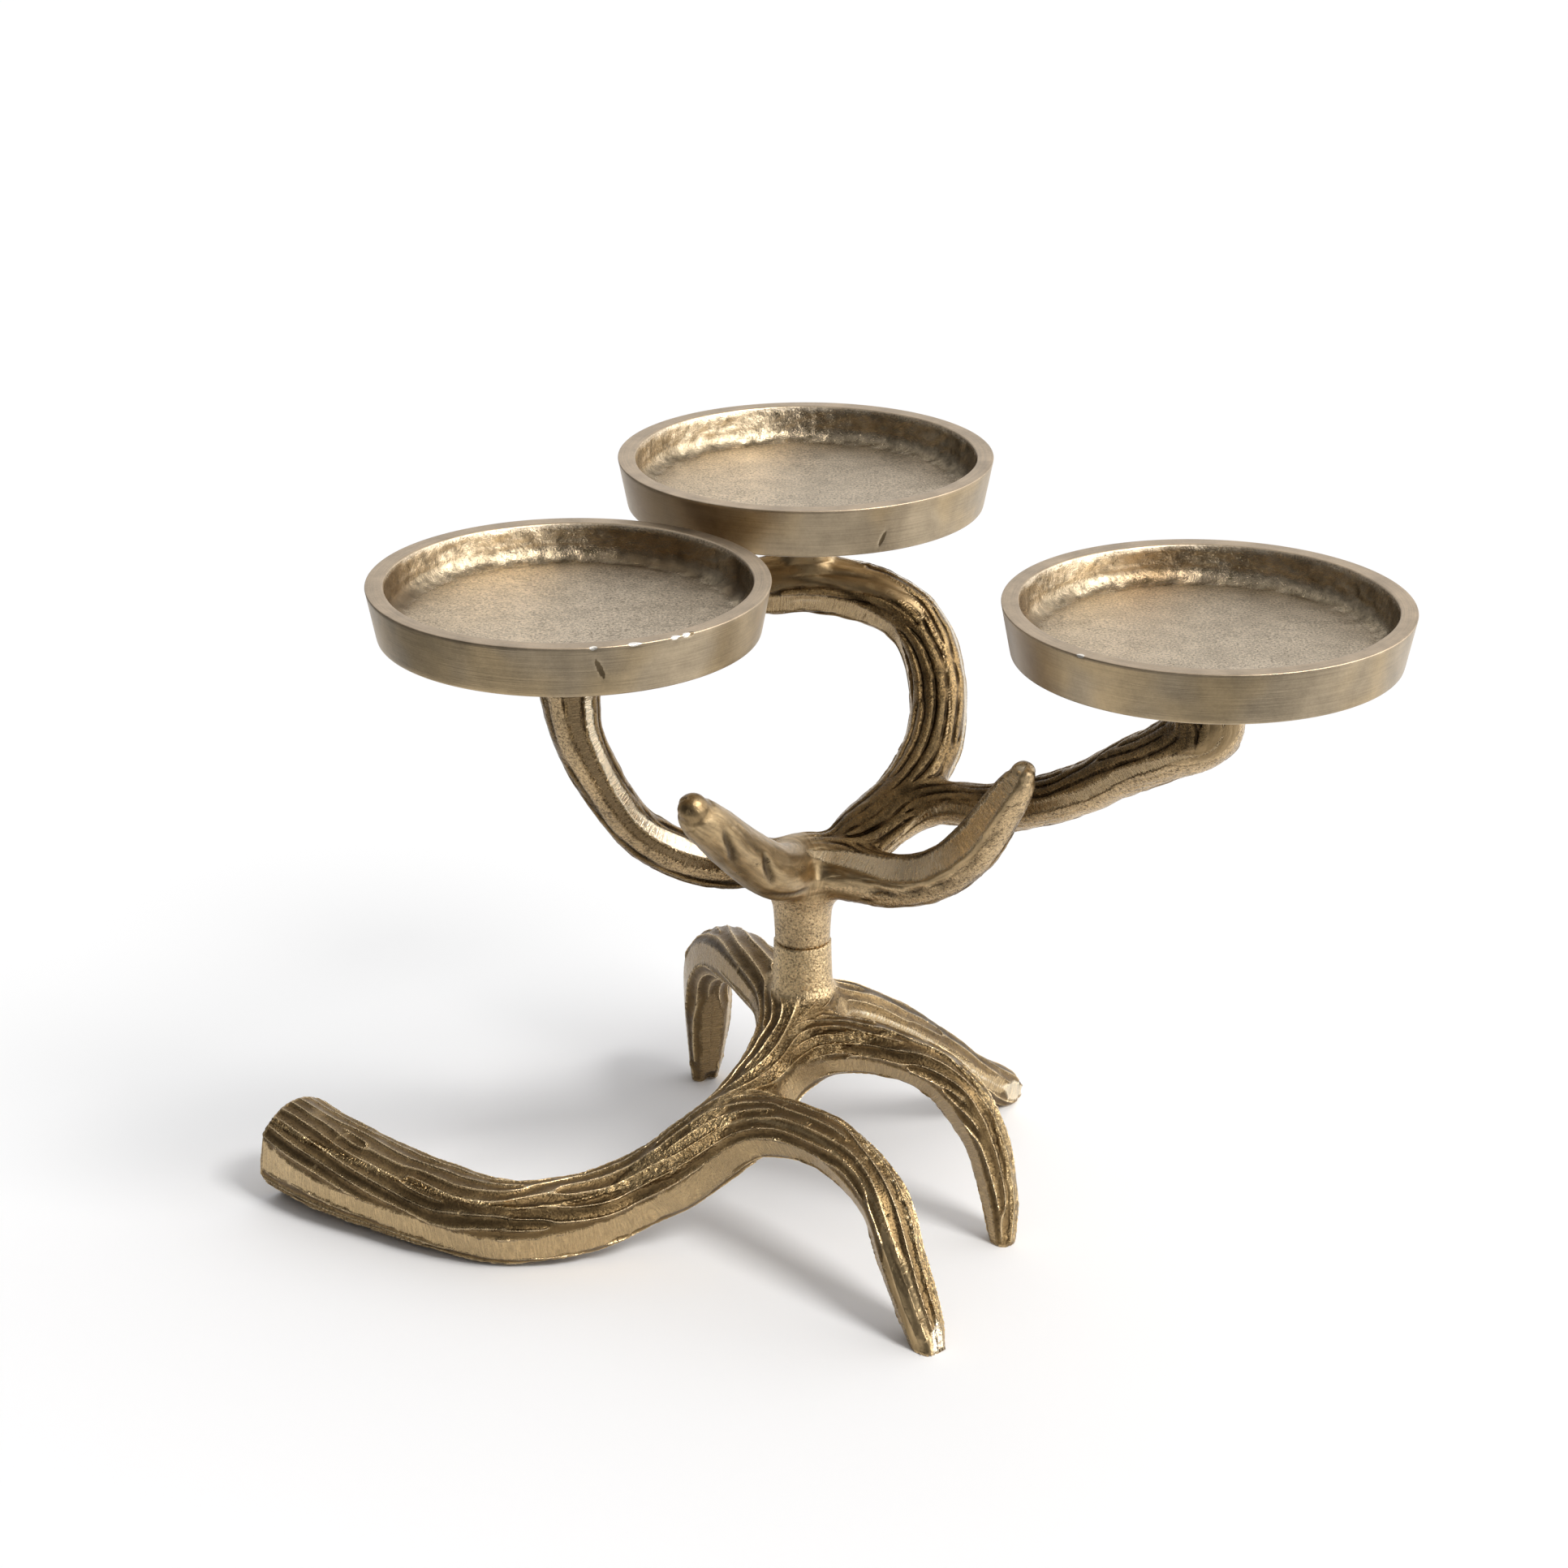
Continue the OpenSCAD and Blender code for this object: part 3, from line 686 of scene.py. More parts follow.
UPPER_LIMBS = [
    Limb("left_arm", ARM_D, FRONT, [
        (-0.6, [(0, -4, 2), (1, -6, 15), (3, -4, 11), (5, 2, 12), (6, 6, 15), (8, 8, 17)]),
        (1, [(0, 26, 2), (1, 30, 21), (3, 31, 23), (5, 34, 17), (6, 38, 12), (7, 40, 10), (8, 40, 8)]),
        (0, [(0, -130, 12), (8, -130, 18)])],
        {"sand": [[(0, -30, 8), (2, -32, 19), (8, -31, 22)]],
         "stain": [[(1, -74, 10), (8, -74, 12)]]},
        grooves=[(4.1, 48, 9, 0.6, 0.3, -2), (2.3, 50, 8, 0.8, 0.6, 3), (1.4, 40, 5, 0.8, 0.5, 0),
                 (3.0, 60, 9, 0.8, 0.5, 2), (5.4, 52, 10, 0.7, 0.3, 2),
                 (6.6, -52, 9, 0.8, 0.6, 1), (5.2, -51, 11, 0.8, 0.6, -1), (3.6, -52, 9, 0.8, 0.6, 1),
                 (2.0, -50, 11, 0.8, 0.55, 0)], depth=0.42, pitch=3.2),
    Limb("loop", ARM_D, FRONT, [
        (0, [(0, -90, 4), (5, -84, 9), (7, -75, 12), (8, -60, 20), (10, -54, 28), (15, -52, 30)]),
        (0.6, [(2, 80, 4), (3, 74, 12), (6, 74, 15), (8, 78, 12), (12, 86, 12)])],
        {"stain": [[(2, 0, 10), (3.4, -10, 36), (6, -10, 40), (8, 0, 36), (11, 10, 42), (15, 10, 44)]],
         "polish": [[(7.4, 20, 2), (8.6, 24, 22), (10, 26, 44), (13, 24, 52), (15, 20, 52)]]},
        grooves=[(9.4, -24, 10, 0.9, 0.5, 10), (10.4, -8, 13, 0.8, 0.5, 7), (10.0, 24, 9, 0.8, 0.45, -9),
                 (12.2, 40, 8, 0.8, 0.3, 6)], depth=0.5, pitch=3.6, fade=(0, 6)),
    Limb("right_arm", ARM_D, FRONT, [
        (0.1, [(0, 60, 4), (2, 14, 12), (5, 8, 15), (6.2, 8, 15), (7.2, 12, 10), (8, 16, 2)]),
        (0, [(0, -130, 10), (10, -130, 14)])],
        {"sand": [[(1, 64, 20), (3, 50, 32), (7.4, 48, 36), (8.6, 70, 24), (10, 80, 20)]],
         "polish": [[(7.2, 20, 2), (8.2, 22, 34), (10, 20, 44)]],
         "stain": [[(0, -40, 20), (3, -50, 40), (7, -50, 40), (8.2, -4, 80), (10, 0, 100)]]},
        depth=0.48, pitch=3.0),
    Limb("left_prong", PRONG_D, FRONT, [
        (0, [(0, -130, 12), (5, -130, 16)])],
        {"polish": [[(0, 0, 160), (5, 0, 180)]],
         "stain": [[(1, -70, 4), (2, -84, 26), (4.2, -70, 14), (4.5, 0, 4), (4.75, 0, 120), (5, 0, 180)]]},
        grooves=[(3.1, -8, 7, 1.2, 0.9, 22), (1.75, 2, 6, 1.3, 0.95, 26), (2.5, 34, 12, 0.9, 0.3, 8),
                 (0.95, -46, 8, 1.3, 0.6, 0), (2.4, -30, 10, 1.4, 0.25, 12)],
        depth=0.12, pitch=4.4, fade=(0, 14)),
    Limb("right_prong", PRONG_D, FRONT, [
        (0.45, [(0, -20, 2), (1.2, -28, 20), (2.2, -36, 34), (5, -40, 36), (7, -42, 34)]),
        (0, [(2, 100, 14), (7, 100, 20)])],
        {"sand": [[(1.2, 40, 6), (2, 34, 30), (7, 34, 36)]],
         # The polish strip along the middle of the prong is lighter, in part as a painted highlight.
         "polish": [[(0, 0, 100), (1.4, 16, 60), (2, 8, 20), (3.6, 2, 14), (5, -4, 8)],
                    [(5.6, 0, 10), (6.4, 0, 120), (7, 0, 120)]],
         "stain": [[(0.6, 0, 40), (1.6, -30, 40), (2.6, -64, 24), (4, -66, 10)]]},
        grooves=[(2.6, 30, 22, 1.0, 0.25, 3), (2.1, 24, 4, 0.9, 0.5, 12), (2.8, 20, 3, 0.9, 0.6, -9),
                 (3.4, 19, 3.5, 0.8, 0.5, 8), (4.1, 18, 4, 0.8, 0.4, -4), (4.8, 16, 3, 0.8, 0.4, 8)],
        depth=0.35, pitch=3.2, fade=(0, 12)),
]
for limb in LOWER_LIMBS + UPPER_LIMBS:
    print(limb.name, "is", round(limb.along[-1]), "mm long and has", len(limb.centre), "rings")


# %% [markdown]
# The blend is a distance: below zero inside the metal, above zero outside. Two limbs are
# joined by a smooth minimum, which leaves a fillet a few millimetres wide at each fork,
# and planes cut the sawn end, the seam and the feet.

# %% The smooth shape of each casting
# Radii of each half of the post at the seam and at its root, and widths of the fillets.
LOWER_POST, UPPER_POST = (8.7, 10.0), (8.3, 10.8)
LOWER_FILLET, UPPER_FILLETS = 7.5, (3.5, 9.0, 4.5, 4.5)
PAD_HEIGHTS = {"pan_left": 6.0, "pan_back": 17.0, "pan_right": 6.0}
PADS = [(x, y, top - PAN_H - BOSS_H, PAD_HEIGHTS[name]) for name, (x, y, top) in PAN_PLACES.items()]


def blend(first, second, fillet):
    """Smooth minimum of two distances."""
    share = np.clip(0.5 + 0.5 * (second - first) / fillet, 0, 1)
    return second + (first - second) * share - fillet * share * (1 - share)


def boss(points, seam_r, root_r, hub_h):
    """Round post between the seam and a hub, a little wider at its root."""
    to_root = np.clip(np.abs(points[:, 2] - SEAM_H) / abs(hub_h - SEAM_H), 0, 1)
    radius = seam_r + (root_r - seam_r) * to_root**1.5
    side = 1 if hub_h < SEAM_H else -1
    return np.maximum(off_axis(points) - radius, side * (points[:, 2] - SEAM_H))


def lower_shape(points, rings):
    reads = [limb.read(points, ring)[0] for limb, ring in zip(LOWER_LIMBS, rings)]
    beam = LOWER_LIMBS[0]
    total = np.maximum(reads[0], -(points - beam.centre[0]) @ beam.heading[0])
    for read in reads[1:]:
        total = blend(total, read, LOWER_FILLET)
    post = boss(points, *LOWER_POST, LOWER_HUB_H)
    total = blend(total, np.maximum(post, LOWER_HUB_H - 12 - points[:, 2]), 4.0)
    return np.maximum(np.maximum(total, points[:, 2] - SEAM_H), -points[:, 2])


def upper_shape(points, rings):
    reads = [limb.read(points, ring)[0] for limb, ring in zip(UPPER_LIMBS, rings)]
    total = reads[0]
    for read, fillet in zip(reads[1:], UPPER_FILLETS):
        total = blend(total, read, fillet)
    post = boss(points, *UPPER_POST, UPPER_HUB_H)
    total = blend(total, np.maximum(post, points[:, 2] - UPPER_HUB_H + 6), 6.0)
    total = np.maximum(total, SEAM_H - points[:, 2])
    for x, y, top, height in PADS:
        away = off_axis(points, x, y)
        cone = away - 9.0 + np.clip((top - points[:, 2]) / height, 0, 1)
        total = blend(total, np.maximum(cone, top - height - 3 - points[:, 2]), 2.5)
        total = np.where(away < 16, np.maximum(total, points[:, 2] - top), total)
    return total


# %% [markdown]
# Geometry Nodes sweep the tubes: each route is a curve whose points carry a radius, and the
# tree gives it a round profile with as many sides as asked. A voxel remesh of all tubes
# then gives one closed skin of even squares, which is what the furrows need.

# %% Sweep the limbs and join them into one skin
def tube_tree():
    """A tree that turns routes into closed tubes, and the names of its two inputs."""
    tree = bpy.data.node_groups.new("limb_tubes", "GeometryNodeTree")
    for name, kind in ("Geometry", "Geometry"), ("Sides", "Int"), ("Metal", "Material"):
        tree.interface.new_socket(name, in_out="INPUT", socket_type="NodeSocket" + kind)
    tree.interface.new_socket("Geometry", in_out="OUTPUT", socket_type="NodeSocketGeometry")
    source, ring, sweep, girth, real, paint, end = map(tree.nodes.new, (
        "NodeGroupInput", "GeometryNodeCurvePrimitiveCircle", "GeometryNodeCurveToMesh",
        "GeometryNodeInputRadius", "GeometryNodeRealizeInstances", "GeometryNodeSetMaterial",
        "NodeGroupOutput"))
    ring.inputs["Radius"].default_value = 1.0
    sweep.inputs["Fill Caps"].default_value = True
    for giver, output, taker, key in (
        (source, "Sides", ring, "Resolution"), (source, "Geometry", sweep, "Curve"),
        (ring, "Curve", sweep, "Profile Curve"), (girth, "Radius", sweep, "Scale"),
        (sweep, "Mesh", real, "Geometry"), (real, "Geometry", paint, "Geometry"),
        (source, "Metal", paint, "Material"), (paint, "Geometry", end, "Geometry"),
    ):
        tree.links.new(giver.outputs[output], taker.inputs[key])
    inputs = [socket for socket in tree.interface.items_tree if socket.in_out == "INPUT"]
    named = {socket.name: socket.identifier for socket in inputs}
    return tree, named["Sides"], named["Metal"]


TUBES, SIDES_INPUT, METAL_INPUT = tube_tree()
print("the tube tree has", len(TUBES.nodes), "nodes")


def evaluated_mesh(piece):
    """The piece's mesh with its modifiers applied."""
    graph = bpy.context.evaluated_depsgraph_get()
    return bpy.data.meshes.new_from_object(piece.evaluated_get(graph))


def joined_tubes(name, limbs, extra, metal):
    """Swept tubes of all limbs, and of the extra straight ones, in one mesh."""
    curve = bpy.data.curves.new(name + "_routes", "CURVE")
    curve.dimensions = "3D"
    for centre, radius in [(limb.centre[::3], limb.radius[::3]) for limb in limbs] + extra:
        spline = curve.splines.new("POLY")
        spline.points.add(len(centre) - 1)
        spline.points.foreach_set("co", np.hstack([centre * MM, np.ones((len(centre), 1))]).ravel())
        spline.points.foreach_set("radius", radius * MM)
    routes = placed(name + "_routes", curve)
    sweep = routes.modifiers.new("tubes", "NODES")
    sweep.node_group = TUBES
    sweep[SIDES_INPUT] = 24
    sweep[METAL_INPUT] = metal
    tubes = evaluated_mesh(routes)
    bpy.data.objects.remove(routes)
    print(name, "tubes reach", [round(c) for c in np.ptp(coordinates(tubes), axis=0)], "mm")
    return tubes


# %% Skins and their points
def remeshed(mesh, voxel):
    """The mesh as one skin of squares voxel millimetres wide."""
    piece = placed("remesh", mesh)
    even = piece.modifiers.new("even", "REMESH")
    even.mode = "VOXEL"
    even.voxel_size = voxel * MM
    skin = evaluated_mesh(piece)
    bpy.data.objects.remove(piece)
    return skin


def triples(items, key):
    values = np.empty(len(items) * 3, np.float32)
    items.foreach_get(key, values)
    return values.reshape(-1, 3).astype(float)


def coordinates(mesh):
    return triples(mesh.vertices, "co") / MM


def normals_of(mesh):
    return triples(mesh.vertex_normals, "vector")


def move_points(mesh, points):
    mesh.vertices.foreach_set("co", (points * MM).astype(np.float32).ravel())
    mesh.update()


# %% Settle a skin on the smooth shape
def neighbours_mean(mesh, points, rounds):
    """Evens out the squares: each point moves halfway to the mean of its neighbours."""
    edges = np.empty(len(mesh.edges) * 2, np.int32)
    mesh.edges.foreach_get("vertices", edges)
    edges = edges.reshape(-1, 2)
    count = np.bincount(edges.ravel(), minlength=len(points))[:, None]
    for _ in range(rounds):
        total = np.zeros_like(points)
        for axis in range(3):
            total[:, axis] += np.bincount(edges[:, 0], points[edges[:, 1], axis], len(points))
            total[:, axis] += np.bincount(edges[:, 1], points[edges[:, 0], axis], len(points))
        points = 0.5 * points + 0.5 * total / np.maximum(count, 1)
    return points


def settle(mesh, limbs, shape, rounds, evening=0):
    """Moves every point along its normal until it lies on the smooth shape. Gives how far
    off the points were in the last round."""
    ahead = 0.15
    for turn in range(rounds):
        points = coordinates(mesh)
        if evening and turn < rounds - 1:
            points = neighbours_mean(mesh, points, evening)
            move_points(mesh, points)
        rings = [limb.nearest(points) for limb in limbs]
        normals = normals_of(mesh)
        here = shape(points, rings)
        slope = np.clip((shape(points + ahead * normals, rings) - here) / ahead, 0.35, 1.5)
        move_points(mesh, points - normals * np.clip(here / slope, -1.2, 1.2)[:, None])
    return float(np.abs(here).mean())


# %% The smooth skin of a casting
ROUGH_SQUARE, FINE_SQUARE = 1.5, 0.75


def cast(name, limbs, shape, extra, metal, lowest):
    tubes = joined_tubes(name, limbs, extra, metal)
    points = coordinates(tubes)
    points[:, 2] = np.maximum(points[:, 2], lowest)
    move_points(tubes, points)
    rough = remeshed(tubes, ROUGH_SQUARE)
    settle(rough, limbs, shape, 3, evening=2)
    skin = remeshed(rough, FINE_SQUARE)
    off = settle(skin, limbs, shape, 3, evening=1)
    print(name, "skin has", len(skin.vertices), "points, off by", round(off, 3), "mm")
    return skin


def straight(x, y, low, high, radius):
    """The rings of an upright tube."""
    z = np.linspace(low, high, 18)
    return np.stack([np.full(18, x), np.full(18, y), z], axis=1), np.full(18, float(radius))


LOWER_EXTRA = [straight(0, 0, 50, SEAM_H, 9.2)]
UPPER_EXTRA = [straight(0, 0, SEAM_H, 112, 9.0)] + [
    straight(x, y, top - height - 3, top, 8.8) for x, y, top, height in PADS]


# %% [markdown]
# Furrows are like the ridges of a fingerprint: about equally far apart, along the limb, and
# meeting in a Y where they come together or part. They can be grown the same way. Every
# point starts with a random number. Again and again it takes the sum of its neighbours'
# numbers, added along the limb and subtracted half a furrow away across it. After a few
# rounds only even stripes are left, and they flow round the forks by themselves.

# %% Which way the furrows run
def limb_shares(reads):
    """How much each limb counts at each point: all for the nearest, shared at a fork."""
    away = np.array([read[0] for read in reads])
    share = np.exp(-(away - away.min(axis=0)) / 1.8)
    return share / share.sum(axis=0)


def flow_over(points, normals, limbs, rings, shares):
    """Along and across directions of the furrows at each point of the skin."""
    along = np.zeros((len(points), 3, 3))
    for limb, ring, share in zip(limbs, rings, shares):
        heading = limb.heading[ring]
        along += share[:, None, None] * heading[:, :, None] * heading[:, None, :]
    helper = np.where(np.abs(normals[:, :1]) < 0.8, [[1.0, 0, 0]], [[0, 1.0, 0]])
    first = unit(np.cross(normals, helper))
    second = np.cross(normals, first)
    a = np.einsum("ni,nij,nj->n", first, along, first)
    b = np.einsum("ni,nij,nj->n", first, along, second)
    c = np.einsum("ni,nij,nj->n", second, along, second)
    turn = 0.5 * np.arctan2(2 * b, a - c) + 0.16 * waves(points, 34, 5) + 0.10 * waves(points, 13, 6)
    lengthwise = np.cos(turn)[:, None] * first + np.sin(turn)[:, None] * second
    return lengthwise, np.cross(normals, lengthwise)


# %% Grow the furrows
STRIPE_LONG, STRIPE_WIDE = 2.3, 0.42
NEAR, MOST_NEAR, FURROW_ROUNDS = 4.4, 130, 36


def neighbours(points):
    """Numbers of the points within NEAR millimetres of each point, and -1 to fill up."""
    tree = KDTree(len(points))
    for i, point in enumerate(points):
        tree.insert(point, i)
    tree.balance()
    near = np.full((len(points), MOST_NEAR), -1, np.int32)
    for i, point in enumerate(points):
        found = [hit[1] for hit in tree.find_range(point, NEAR)][:MOST_NEAR]
        near[i, :len(found)] = found
    return near


def grow_furrows(points, normals, lengthwise, sideways, pitch, seed):
    """Furrows that run along the flow, one pitch apart. Gives the two halves of a wave:
    the first is 1 on a crest and -1 in a furrow, the second is zero on both."""
    near = neighbours(points)
    level = np.zeros(near.shape, np.float32)
    slant = np.zeros(near.shape, np.float32)
    for start in range(0, len(points), 8000):
        rows = slice(start, start + 8000)
        offset = points[near[rows]] - points[rows, None]
        a = np.einsum("nki,ni->nk", offset, lengthwise[rows])
        b = np.einsum("nki,ni->nk", offset, sideways[rows])
        wave = pitch[rows, None]
        bell = np.exp(-((a / STRIPE_LONG) ** 2) / 2 - (b / (STRIPE_WIDE * wave)) ** 2 / 2)
        facing = np.einsum("nki,ni->nk", normals[near[rows]], normals[rows])
        bell *= (near[rows] >= 0) * (facing > 0.1)
        even = bell * np.cos(2 * math.pi * b / wave)
        even -= bell * (even.sum(1) / bell.sum(1))[:, None]
        odd = bell * np.sin(2 * math.pi * b / wave)
        level[rows] = even / np.maximum(np.abs(even).sum(1), 1e-6)[:, None]
        slant[rows] = odd / np.maximum(np.abs(odd).sum(1), 1e-6)[:, None]
    wave = np.random.default_rng(seed).normal(size=len(points)).astype(np.float32)
    for _ in range(FURROW_ROUNDS):
        wave = np.einsum("nk,nk->n", level, wave[near])
        wave = np.tanh(2.0 * wave / (wave.std() + 1e-6))
    even, odd = (np.einsum("nk,nk->n", share, wave[near]).astype(float) for share in (level, slant))
    size = np.sqrt(even**2 + odd**2)
    size = np.maximum(size, 0.35 * np.median(size))
    return even / size, odd / size


# %% [markdown]
# The waves become relief. On the lower antler the crests are thin and the furrows wide, on
# the upper one it is the other way round, and the depth changes more from patch to patch.
# The filed flats, the post, the sawn face, the seam and the soles carry none. What the
# finish needs is kept with the points: the two halves of the wave, how deep it is there,
# which tools went over it, and the place on the limb.

# %% Press the furrows into the skin
def thin_crests(even, odd):
    """Wide furrows between narrow crests, each a little steeper on one side."""
    return ((1 + even) / 2) ** 3.4 + 0.14 * odd * (1 - even**2)


def thin_grooves(even, odd):
    """Wide ridges with narrow grooves between them."""
    return 1 - ((1 - even) / 2) ** 4.5 + 0.10 * odd * (1 - even**2)


SOFTNESS = {"sand": 3, "stain": 1.2, "polish": 3, "hammer": 2}
RAGGEDNESS = {"sand": 1, "stain": 0.35, "polish": 0.35, "hammer": 1}


def limb_sums(limbs, rings, reads, shares):
    """What the limbs say about each point, added up in the limbs' shares."""
    total = {}
    for limb, ring, (_, angle, along, flat), share in zip(limbs, rings, reads, shares):
        shine = limb.shine(angle, ring)
        values = {"pitch": limb.pitch, "depth": limb.depth * limb.strength[ring], "filed": flat * 3,
                  "shine": shine, "keen": np.abs(shine), "dug": limb.groove(angle, along, ring),
                  "along": along, "round": np.radians(angle) * limb.radius[ring]}
        for kind, soft in SOFTNESS.items():
            values[kind] = soft * limb.deepest(limb.finish.get(kind, ()), angle, ring)
        for key, value in values.items():
            total[key] = total.get(key, 0) + share * value
    return total


def furrowed(skin, limbs, profile, plain, lowest, patchy, seed=11):
    """Presses the furrows, lumps and single grooves into the skin, and notes the finish."""
    points, normals = coordinates(skin), normals_of(skin)
    rings = [limb.nearest(points) for limb in limbs]
    reads = [limb.read(points, ring) for limb, ring in zip(limbs, rings)]
    shares = limb_shares(reads)
    total = limb_sums(limbs, rings, reads, shares)
    pitch = total["pitch"] * (1 + 0.22 * waves(points, 38, seed + 3))
    even, odd = grow_furrows(points, normals, *flow_over(points, normals, limbs, rings, shares), pitch, seed)
    ragged = 0.20 * waves(points, 7, seed + 7) + 0.16 * waves(points, 2.6, seed + 8)
    filed = total["filed"] + ragged * (1 - 0.75 * np.minimum(total["keen"], 1))
    filed, bare = smoothstep(0.25, 0.5, filed), plain(points)
    marks = {kind: smoothstep(0.1, 0.9, total[kind] + rag * ragged * (total[kind] > 0.02))
             for kind, rag in RAGGEDNESS.items()}
    sandy, smooth = marks["sand"], np.maximum(marks["polish"], 0.2 * marks["hammer"])
    vary = 0.85 + patchy * (waves(points, 22, seed + 9) + 0.7 * waves(points, 8, seed + 12))
    vary = np.clip(vary, 0.1, 1.5) * total["depth"]
    open_skin = (1 - filed) * (1 - bare) * (1 - 0.8 * sandy) * (1 - 0.85 * smooth)
    relief = vary * (profile(even, odd) - 0.5) * open_skin
    lumps = 0.14 * waves(points, 13, seed + 10) + 0.06 * waves(points, 4.5, seed + 11)
    points += normals * (relief + lumps * (1 - 0.75 * filed) * (1 - bare) - total["dug"])[:, None]
    points[:, 2] = np.maximum(points[:, 2], lowest)
    move_points(skin, points)
    marks = {kind: share * (1 - bare) for kind, share in marks.items()}
    marks["sand"] = np.maximum(sandy, bare) * (1 - filed * (1 - bare))
    note(skin, even=even, odd=odd, furrow=np.clip(vary / 0.45, 0, 1) * open_skin, filed=filed * (1 - bare),
         dug=np.clip(total["dug"] * 1.6, 0, 1), shine=total["shine"], along=total["along"],
         round=total["round"], **marks)


def lower_plain(points):
    """1 on the post, the seam, the sawn face and the soles, which have no furrows."""
    away = off_axis(points)
    post = smoothstep(66, 70, points[:, 2]) * smoothstep(15, 12, away)
    beam = LOWER_LIMBS[0]
    from_end = points - beam.centre[0]
    sawn = smoothstep(0.8, 0.3, from_end @ beam.heading[0])
    sawn *= smoothstep(24, 20, np.linalg.norm(from_end, axis=1))
    sole = smoothstep(0.7, 0.2, points[:, 2])
    return np.maximum.reduce([post, sawn, sole])


def upper_plain(points):
    """1 on the post, the seam and the seats of the pans, which have no furrows."""
    away = off_axis(points)
    plain = smoothstep(104, 100, points[:, 2]) * smoothstep(15, 12, away)
    for x, y, top, height in PADS:
        near = smoothstep(13, 11, off_axis(points, x, y))
        plain = np.maximum(plain, near * smoothstep(top - 5, top - 2, points[:, 2]))
    return plain


# %% [markdown]
# ## The finish of the castings
#
# Antique brass: the metal was darkened, then rubbed back. So crests and filed strips are
# light and smooth, furrows are brown and duller, and between them lies a warm gold. Sand
# from the mould left a fine grain, the file left short marks across the flats, the polish
# long streaks and the hammer small blows that lie along the limb.

# %% Antique brass
WORKED_HIGHLIGHT_GOLD = (0.86, 0.65, 0.35)
POLISH_HIGHLIGHT_FLAT, SCRATCHED_FLAT = (0.93, 0.82, 0.62), (0.74, 0.59, 0.39)


def tinted(colour, factor):
    return tuple(factor * c for c in colour)


